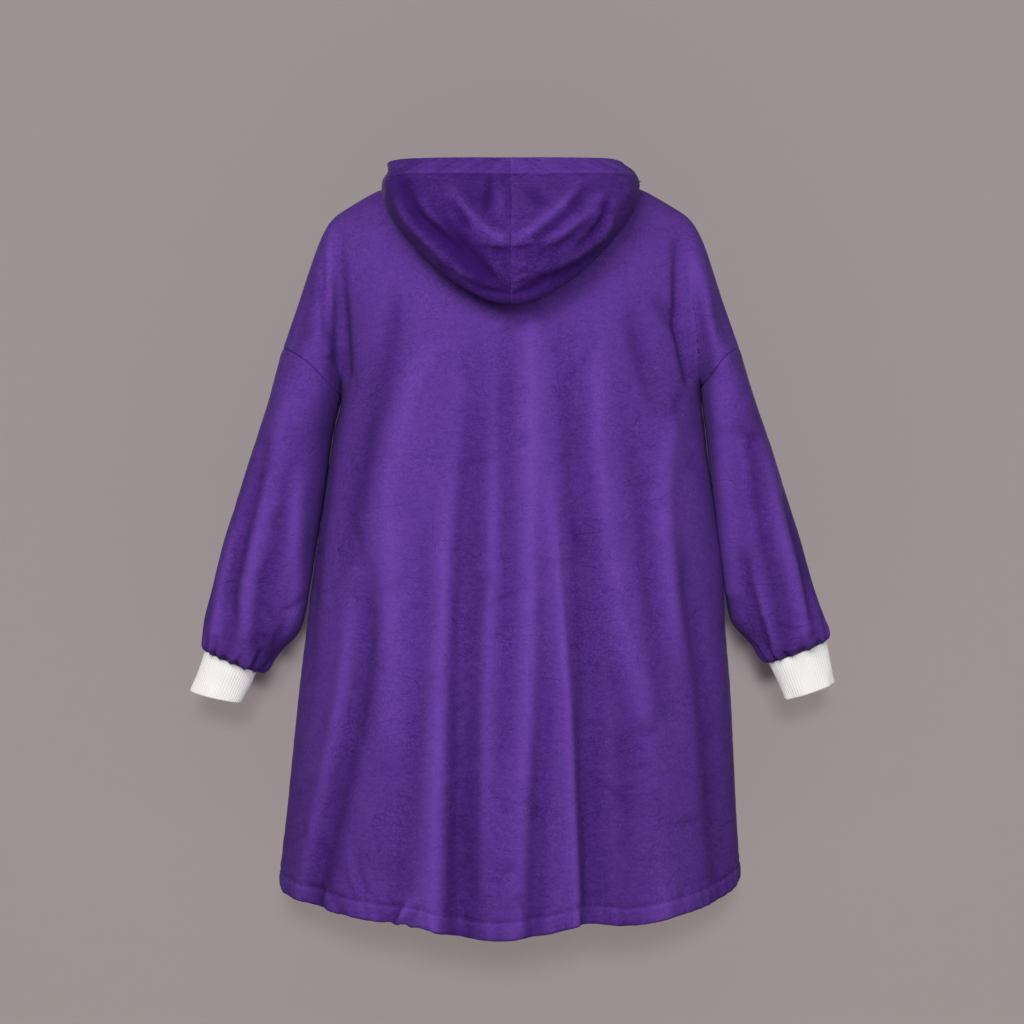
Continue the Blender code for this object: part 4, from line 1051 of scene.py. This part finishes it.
for side, seed in ((LEFT, 41), (RIGHT, 51)):
    sleeve_points, sleeve_painted_shade = sleeve(side, seed)
    arm = shell(f"sleeve_{side}_cloth", sleeve_points, FLEECE, SIGN[side], purple_fleece, closed=True)
    # Painted shade and highlight as a vertex attribute
    set_attribute(arm, "nap_and_painted_shade", sleeve_painted_shade)
    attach(arm, "root")
    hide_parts(f"sleeve_{side}")


# Each cuff is a doubled tube of white rib knit, folded at the hand edge and stretched a little to the
# gathered sleeve. Fine ribs run down it.
RIB = 0.0026
CUFF_END = {LEFT: ((0.4065, 0.6255), (0.3425, 0.6405)), RIGHT: ((0.4110, 0.6150), (0.3480, 0.6365))}
CUFF_DEPTH = 0.0215
CUFF_GAP = 0.001
CUFF_WAIST = 0.05
RIBS = 58
COLUMNS_A_RIB = 8
RIB_HEIGHT = 0.00022
COURSES = 34
KNIT_BUMP = 0.6


def cuff(side, seed):
    """Outer points of a cuff in rings from the sleeve to the hand: ellipses with a cosine wave of ribs."""
    share = two_paces(0.9, 40, 8)[:-1]
    angle = np.linspace(0, 2 * math.pi, RIBS * COLUMNS_A_RIB, endpoint=False)[None]
    (outer_x, outer_drop), (inner_x, inner_drop), depth = sleeve_edges(side, np.array(1.0))
    (end_outer_x, end_outer_drop), (end_inner_x, end_inner_drop) = CUFF_END[side]
    swing = (1 + np.cos(angle)) / 2
    start_x = inner_x + (outer_x - inner_x) * swing
    start_drop = inner_drop + (outer_drop - inner_drop) * swing
    end_x = end_inner_x + (end_outer_x - end_inner_x) * swing
    end_drop = end_inner_drop + (end_outer_drop - end_inner_drop) * swing
    x = start_x + (end_x - start_x) * share
    drop = start_drop + (end_drop - start_drop) * share
    half_depth = (depth + (CUFF_DEPTH - depth) * share) * (1 - CUFF_WAIST * np.sin(share * math.pi))
    points = np.stack([SIGN[side] * x, -half_depth * np.sin(angle), -drop - CUFF_GAP], axis=2)
    normal = normals_of(points, closed=True) * SIGN[side]
    wave = np.cos(RIBS * angle)
    lift = RIB_HEIGHT * wave * smoothstep(0, 0.06, 1 - share) + 0.0006 * rumple(points, 0.02, seed)
    lift += 0.0008 * uneven_waves(run_along(points, 1), 0.014, seed) * (1 - smoothstep(0, 0.35, share))
    lift += 0.0013 * uneven_waves(run_along(points, 1), 0.016, seed + 1) * smoothstep(0.6, 1, share)
    return points + normal * lift[..., None], share + 0 * angle, wave + 0 * share


def knit_loops():
    """Group for rib knit: the height in millimetres and tone of loops that stack down each rib in Vs."""
    tree, inside, out = new_group(
        "knit_loops", [("Course", "NodeSocketFloat"), ("Rib", "NodeSocketFloat")],
        [("Tone", "NodeSocketFloat"), ("Height", "NodeSocketFloat")],
    )
    turn = calculate(tree, "MULTIPLY", inside.outputs["Course"], 2 * math.pi * COURSES)
    bent = calculate(tree, "MULTIPLY_ADD", inside.outputs["Rib"], 1.6, turn)
    loop = calculate(tree, "COSINE", bent)
    tree.links.new(calculate(tree, "MULTIPLY", loop, 0.07), out.inputs["Height"])
    # Painted shade between the ribs and in the loops' low parts, lighter on their high parts
    on_rib = calculate(tree, "MULTIPLY_ADD", inside.outputs["Rib"], 0.15, 0.65)
    tree.links.new(calculate(tree, "MULTIPLY_ADD", loop, 0.10, on_rib), out.inputs["Tone"])
    return tree


def rib_knit(name, shaded_hollow, lit_rib):
    """White rib knit: the loops' tone mixes a darker colour between ribs, which is painted shade, with a
    paler one on them.
    """
    shader_inputs = {"Roughness": 0.9, "Specular IOR Level": 0.2, "Sheen Weight": 0.1}
    made, tree, shader = new_material(name, shader_inputs)
    course = add_node(tree, "ShaderNodeAttribute", {"attribute_name": "course"}).outputs["Fac"]
    rib = add_node(tree, "ShaderNodeAttribute", {"attribute_name": "rib"}).outputs["Fac"]
    loops = add_node(tree, "ShaderNodeGroup", {"node_tree": knit_loops()}, Course=course, Rib=rib)
    cover(tree, shader, loops.outputs["Tone"], shaded_hollow, lit_rib, loops.outputs["Height"], KNIT_BUMP)
    return made


# The darker white is painted shade between the ribs
white_rib_knit = rib_knit("white_rib_knit", (0.66, 0.655, 0.64), (0.74, 0.735, 0.72))
for side, seed in ((LEFT, 61), (RIGHT, 71)):
    cuff_points, courses, ribs = cuff(side, seed)
    wrist = shell(
        f"cuff_{side}_knit", cuff_points, RIB, SIGN[side], white_rib_knit,
        closed=True, round_first=2, round_last=4,
    )
    set_attribute(wrist, "course", courses)
    set_attribute(wrist, "rib", ribs)
    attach(wrist, "root")
    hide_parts(f"cuff_{side}")


# The hood is two halves of the fleece, sewn together over the crown and to the neckline. It is down: its
# cloth lies on the back, turns up at its lowest place and comes forward round the neck to the stitched
# casing of the face opening.
HOOD_SEAM_GAP = 0.0009
HOOD_CLEARANCE = 0.0045
THROAT_GAP = 0.0035
CLEARING_PASSES = 4
CLEARING_REACH = 0.03
HOOD_CASING = 0.0285
CROWN_GAP = 0.0001
HOOD = {
    "turn": (0, 30, 60, 90, 120, 150, 180),
    "lying": (
        (0.003, 0.102, -0.066), (0.062, 0.098, -0.044), (0.103, 0.061, 0.010), (0.126, -0.004, 0.030),
        (0.106, -0.080, -0.012), (0.056, -0.120, -0.056), (0.0, -0.128, -0.076),
    ),
    "lowest": (
        (0.005, 0.108, -0.062), (0.078, 0.108, -0.064), (0.132, 0.074, -0.020), (0.163, -0.010, 0.0155),
        (0.138, -0.108, -0.050), (0.074, -0.160, -0.122), (0.0, -0.176, -0.155),
    ),
    "bulge": (
        (0.007, 0.112, -0.055), (0.080, 0.113, -0.046), (0.135, 0.068, 0.001), (0.157, -0.014, 0.0220),
        (0.148, -0.126, -0.012), (0.086, -0.192, -0.058), (0.0, -0.210, -0.080),
    ),
    "rim": (
        (0.008, 0.113, -0.046), (0.066, 0.104, -0.024), (0.117, 0.050, 0.022), (0.145, -0.022, 0.0330),
        (0.131, -0.100, 0.0300), (0.078, -0.136, 0.0260), (0.0, -0.142, 0.0250),
    ),
}
# Folds of the hood's upper layer as seen from behind, in millimetres
# Their rises also set painted shade in the troughs and painted highlight on the ridges.
HOOD_FOLDS = {
    LEFT: (
        (((-25, 2), (-28, 32), (-31, 52)), (-4, -4, 0), 4, 3),
        (((-78, 4), (-56, 40), (-30, 72), (-6, 83)), (0, 4, 5, 3), 8, 7),
        (((-66, 34), (-56, 56), (-46, 70)), (0, -4, 0), 5, 5),
        (((-90, 40), (-70, 72), (-45, 100), (-15, 133)), (0, -4, -5, -2), 6, 9),
        (((-128, 6), (-112, 47), (-76, 83), (-32, 126)), (-4, -6, -6, -3), 8, 7),
        (((-140, 18), (-124, 52), (-91, 89), (-45, 130)), (0, 3, 3, 1), 5, 5),
        (((-112, 16), (-96, 44), (-66, 78)), (0, 1.2, 1), 8, 8),
        (((-40, 90), (-18, 93.5), (4, 93.5)), (0, -3.5, -3.5), 5, 2.5),
        (((-60, 122), (-34, 139), (-4, 143.5)), (0, -3, -2), 3, 4),
        (((-18, 82), (-8, 78), (-2, 73)), (0, 1.8, 0), 2, 3),
        (((-30, 104), (-18, 118), (-10, 134)), (0, 2, 0), 4, 4),
        (((-12, 10), (-13, 40), (-10, 66)), (0, 2.5, 0), 6, 5),
    ),
    RIGHT: (
        (((86, 2), (62, 38), (24, 72), (4, 83)), (0, 4, 5, 3), 8, 6),
        (((96, 6), (66, 46), (28, 83)), (0, -3.5, -3), 5, 5),
        (((110, 14), (92, 47), (61, 76), (28, 95)), (0, 4, 4, 1), 8, 8),
        (((104, 42), (66, 81), (26, 100)), (0, -4, -2), 6, 7),
        (((118, 20), (106, 60), (80, 88)), (0, -3.5, -1), 5, 5),
        (((126, 22), (114, 69), (83, 100), (40, 124)), (0, 3.5, 3, 0), 6, 6),
        (((130, 56), (100, 92), (56, 122), (16, 138)), (0, -4, -5, -2), 7, 8),
        (((0, 93.5), (20, 91.5), (36, 86.5), (62, 76)), (-3.5, -3, -2, 0), 5, 2.5),
        (((4, 143.5), (22, 141), (40, 134)), (-2, -3, 0), 3, 4),
        (((3, 122), (10, 115), (19, 110)), (0, 2, 0), 2, 3),
        (((2, 130), (10, 127), (22, 122)), (0, 1.8, 0), 2, 3),
        (((16, 12), (30, 30), (34, 46)), (0, -3, 0), 8, 10),
    ),
}
# Painted shade of the hood: fold troughs dark and ridges light, the whole hood darker, its left half more
HOOD_FOLD_SHADE_TURN = 0.0042
HOOD_SHADE = {LEFT: -1.55, RIGHT: -1.2}
HOOD_FOLD_SHADE_CONTRAST = 1.45
# The casing band takes less of the hood's painted shade
HOOD_CASING_LIGHT = 0.45
RIM_GATHERS = 0.12
INNER_GATHERS = 0.38
RIM_BLEND = 0.014
FOLDS_FROM_CROWN = 0.008
CROWN_SEAM_SHARE = 0.5
# Painted light along the crown seam, offsetting the shade in its gap
CROWN_LIGHT = 0.55
CROWN_LIGHT_REACH = 0.0015
HOOD_HAIRLINES = 40
HOOD_ROWS = 201
HOOD_COLUMNS = 161
STITCHED_COLUMN = 120
HOOD_CORNER = {LEFT: 0.010, RIGHT: -0.004}
HOOD_SHOULDER_TUCK = 0.007
HOOD_RUMPLES = ((0.045, 0.0012, 81), (0.020, 0.0005, 82), (0.010, 0.0002, 83))


def clear_of(points, cloth, normal, gap):
    """Points within a gap of a panel's outer face, moved out along the normal of the panel's nearest point.
    """
    flat = points.reshape(-1, 3)
    square = (flat**2).sum(axis=1)[:, None] + (cloth**2).sum(axis=1)[None] - 2 * flat @ cloth.T
    near = np.argmin(square, axis=1)
    height = ((flat - cloth[near]) * normal[near]).sum(axis=1)
    close = np.linalg.norm(flat - cloth[near], axis=1) < CLEARING_REACH
    gap = np.broadcast_to(gap, points.shape[:2]).reshape(-1)
    lift = np.where(close, np.clip(gap - height, 0, None), 0)
    return (flat + normal[near] * lift[:, None]).reshape(points.shape)


def refined(points, rows, columns):
    """A grid read more finely along round curves, first down its rows and then across its columns."""
    taller = spline(np.concatenate([points[:1], points, points[-1:]]), np.linspace(0, 1, rows))
    turned = taller.transpose(1, 0, 2)
    wider = spline(np.concatenate([turned[:1], turned, turned[-1:]]), np.linspace(0, 1, columns))
    return wider.transpose(1, 0, 2)


def hood_form(side):
    """Outer points of a hood half without its folds: columns from the throat to the nape, rows from
    neckline to rim.

    Round curves through the rails of its sections, first round the neck and then over the fold, moved
    clear of the panels that the hood lies on.
    """
    turn = np.asarray(HOOD["turn"], float)
    neck = np.stack(neckline(turn), axis=1) * (1, 1, -1)
    rails = np.stack([neck] + [np.asarray(HOOD[name]) for name in ("lying", "lowest", "bulge", "rim")])
    mirror = (-1, 1, 1)
    rails = np.concatenate([rails[:, 1:2] * mirror, rails, rails[:, -2:-1] * mirror], axis=1)
    share = np.linspace(0, 1, 41)
    sections = spline(rails.transpose(1, 0, 2), share).transpose(1, 0, 2)
    length_share = np.linspace(0, 1, 49)
    points = spline(np.concatenate([sections[:1], sections, sections[-1:]]), length_share)
    exact = np.stack(neckline(share * 180), axis=1) * (1, 1, -1)
    points += (exact - points[0])[None] * (1 - smoothstep(0, 0.15, length_share))[:, None, None]
    points[..., 0] *= SIGN[side]
    gap = np.where(length_share > 0, HOOD_CLEARANCE, HOOD_SEAM_GAP)[:, None]
    for cloth, normal in HOOD_BED * CLEARING_PASSES:
        points = clear_of(points, cloth, normal, gap)
    points = refined(points, HOOD_ROWS, HOOD_COLUMNS)
    turn_at = np.linspace(0, 180, HOOD_COLUMNS)
    share_at = np.linspace(0, 1, HOOD_ROWS)[:, None]
    corner = bell(turn_at, 108, 20) * smoothstep(0.84, 1, share_at)
    points[..., 0] += SIGN[side] * HOOD_CORNER[side] * corner
    over_shoulder = bell(turn_at, 90, 15) * bell(share_at, 0.5, 0.14)
    points[..., 0] -= SIGN[side] * HOOD_SHOULDER_TUCK * over_shoulder
    least = np.where(turn_at < 90, THROAT_GAP, SEAM_GAP / 2)
    points[..., 0] = np.maximum(points[..., 0] * SIGN[side], least) * SIGN[side]
    return points


def hood_half(side, seed):
    """Outer points of a hood half with the folds of its upper layer, rumples, the crown seam and the casing.
    """
    points = hood_form(side)
    normal = normals_of(points) * -SIGN[side]
    along = run_along(points, 0)
    round_it = run_along(points, 1)
    to_rim = along[-1:] - along
    upper = smoothstep(0.50, 0.60, np.linspace(0, 1, len(points)))[:, None]
    behind = smoothstep(-0.02, 0.02, -points[..., 1])
    lift = upper * behind * folds_lift(points[..., 0], -points[..., 2], HOOD_FOLDS[side])
    low, high = sorted((4 * SIGN[side], 125 * SIGN[side]))
    marks = hairlines(HOOD_HAIRLINES, (low, 30), (high, 130), seed + 7)
    crushed = 0.8 * upper * behind * folds_lift(points[..., 0], -points[..., 2], marks)
    # Painted shade of the hood's folds and creases, and painted shade over the whole half
    nap_and_painted_shade = HOOD_FOLD_SHADE_CONTRAST * np.tanh(lift / HOOD_FOLD_SHADE_TURN) + HOOD_SHADE[side] + crushed / HAIRLINE_TURN
    lift += crushed
    for size, height, noise_seed in HOOD_RUMPLES:
        lift += height * upper * rumple(points, size, noise_seed)
    crown = round_it[:, -1:] - round_it
    past_casing = smoothstep(HOOD_CASING - 0.004, HOOD_CASING + 0.006, to_rim)
    lift *= smoothstep(0, FOLDS_FROM_CROWN, crown) * past_casing
    lift += upper * CROWN_SEAM_SHARE * seam_dip(crown, along, seed) * smoothstep(0, 0.01, to_rim)
    turned_over = casing(to_rim, round_it, HOOD_CASING, seed + 1)
    lift += upper * turned_over * (RIM_GATHERS + INNER_GATHERS * smoothstep(0, RIM_BLEND, to_rim))
    # Painted highlight and shade of the casing, less painted shade on the casing band, painted light along
    # the crown seam
    nap_and_painted_shade += upper * casing_shade(to_rim, turned_over, HOOD_CASING)
    nap_and_painted_shade += HOOD_CASING_LIGHT * smoothstep(-HOOD_CASING, 0.002 - HOOD_CASING, -to_rim)
    nap_and_painted_shade += CROWN_LIGHT * (1 + uneven_waves(along, 0.02, seed + 5)) * bell(crown, 0, CROWN_LIGHT_REACH)
    points = points + normal * lift[..., None]
    points[:, -1, 0] = SIGN[side] * CROWN_GAP / 2
    return points, nap_and_painted_shade


HOOD_BED = []
for face in (BACK, FRONT):
    bed, _ = panel_form(face, 48, np.linspace(0, 1, 12), yoke_shares(24, 26))
    over = bed[..., 2] > -UNDERARM_DROP_MIDDLE - 0.02
    HOOD_BED.append((bed[over], (normals_of(bed) * -OUTWARD[face])[over]))
for side, seed in ((LEFT, 91), (RIGHT, 95)):
    hood_points, hood_painted_shade = hood_half(side, seed)
    half = shell(f"hood_{side}_cloth", hood_points, FLEECE, -SIGN[side], purple_fleece, round_last=3)
    # Painted shade and highlight as a vertex attribute
    set_attribute(half, "nap_and_painted_shade", hood_painted_shade)
    run = run_along(hood_points, 0)[:, STITCHED_COLUMN]
    casing_row = int(np.argmin(np.abs(run[-1] - run - HOOD_CASING)))
    thread = stitch_row(f"hood_{side}_stitches", hood_points, -SIGN[side], casing_row, purple_fleece)
    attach(half, "root")
    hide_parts(f"hood_{side}")


# The studio: one pale sweep of painted board that is the floor and turns up close behind the garment,
# which is held up by nothing that shows. It is left out of the model.
FLOOR_DROP = 1.45
BOARD_BEHIND = 0.235
BOARD_TURN = 0.35
BOARD_HALF_WIDTH = 3.2
BOARD_TOP = 1.9


def sweep():
    """Places and faces of the floor, a quarter circle and the upright board: a profile carried sideways."""
    turn = np.linspace(0, math.pi / 2, 24)
    y = np.concatenate([[-4.5], BOARD_BEHIND - BOARD_TURN + BOARD_TURN * np.sin(turn), [BOARD_BEHIND]])
    z = np.concatenate([[-FLOOR_DROP], BOARD_TURN - FLOOR_DROP - BOARD_TURN * np.cos(turn), [BOARD_TOP]])
    places = [(x, a, b) for a, b in zip(y, z) for x in (-BOARD_HALF_WIDTH, BOARD_HALF_WIDTH)]
    quads = [(2 * i, 2 * i + 1, 2 * i + 3, 2 * i + 2) for i in range(len(y) - 1)]
    return places, quads


def painted_board(colour):
    """Matt paint on the side that faces the camera. From behind, the board is clear."""
    paint = {"Base Color": (*colour, 1), "Roughness": 0.95, "Specular IOR Level": 0.1}
    made, tree, shader = new_material("painted_board", paint)
    behind = add_node(tree, "ShaderNodeNewGeometry").outputs["Backfacing"]
    clear = add_node(tree, "ShaderNodeBsdfTransparent").outputs[0]
    mixed = add_node(tree, "ShaderNodeMixShader", i0=behind, i1=shader.outputs[0], i2=clear)
    tree.links.new(mixed.outputs[0], tree.nodes["Material Output"].inputs["Surface"])
    return made


board = mesh_object("studio_board", *sweep(), painted_board((0.43, 0.373, 0.368)))
board.visible_shadow = False


# Camera level with the middle of the garment and square to its back
CAMERA_DISTANCE = 2.5
VIEW_WIDTH = 1.3005
VIEW_MIDDLE = (0.00127, -0.3994)
camera = bpy.data.objects.new("camera", bpy.data.cameras.new("camera"))
camera.location = (VIEW_MIDDLE[0], -CAMERA_DISTANCE, VIEW_MIDDLE[1])
camera.rotation_euler = (math.pi / 2, 0, 0)
camera.data.sensor_width = 36
camera.data.lens = camera.data.sensor_width * CAMERA_DISTANCE / VIEW_WIDTH
bpy.context.scene.collection.objects.link(camera)
bpy.context.scene.camera = camera

garment = bpy.data.collections.new("garment")
for piece in bpy.context.scene.objects:
    if piece.type == "MESH" and piece != board:
        garment.objects.link(piece)
backdrop = bpy.data.collections.new("backdrop")
backdrop.objects.link(board)
# Soft boxes for the garment, and lamps for the board, of which the near one lays a soft shade under the
# garment. Columns: name, kind, place, aim, size in metres (a sun's angle), power, colour, and what it
# lights
LAMPS = (
    ("key", "AREA", (-0.75, -2.7, 0.95), (0, 0, 0.0), 1.5, 92, (1.0, 0.98, 0.97), garment),
    ("front", "AREA", (0.95, -2.9, 0.20), (0, 0, 0.05), 1.5, 45, (1.0, 0.99, 1.0), garment),
    ("rear", "AREA", (-0.9, 3.0, 0.7), (0, 0, -0.45), 1.4, 52, (1.0, 0.98, 0.97), garment),
    ("rear_fill", "AREA", (1.2, 2.8, -0.1), (0, 0, -0.45), 1.4, 26, (0.98, 0.97, 1.0), garment),
    ("board_even", "SUN", (0, -2.0, -0.40), (0, 0, -0.40), 0.09, 1.22, (1.0, 1.0, 1.0), backdrop),
    ("board_floor", "SUN", (0, -0.05, 2.0), (0, 0, 0), 0.09, 1.2, (1.0, 1.0, 1.0), backdrop),
    ("board_shade", "AREA", (0, -3.5, 0.12), (0, 0, -0.40), 0.35, 28, (1.0, 1.0, 1.0), backdrop),
)


def lamp(name, kind, place, aim, size, power, colour, lit):
    """A lamp that faces its aim and lights one set of objects. All objects shade it."""
    made = bpy.data.objects.new(name, bpy.data.lights.new(name, kind))
    made.location = place
    made.rotation_euler = (made.location - type(made.location)(aim)).to_track_quat("Z", "Y").to_euler()
    setattr(made.data, "angle" if kind == "SUN" else "size", size)
    made.data.energy = power
    made.data.color = colour
    made.light_linking.receiver_collection = lit
    bpy.context.scene.collection.objects.link(made)


for row in LAMPS:
    lamp(*row)
world = bpy.data.worlds.new("studio")
world.use_nodes = True
world.node_tree.nodes["Background"].inputs["Color"].default_value = (0.92, 0.90, 0.92, 1)
world.node_tree.nodes["Background"].inputs["Strength"].default_value = 0.17
bpy.context.scene.world = world
bpy.context.scene.view_settings.view_transform = "Standard"
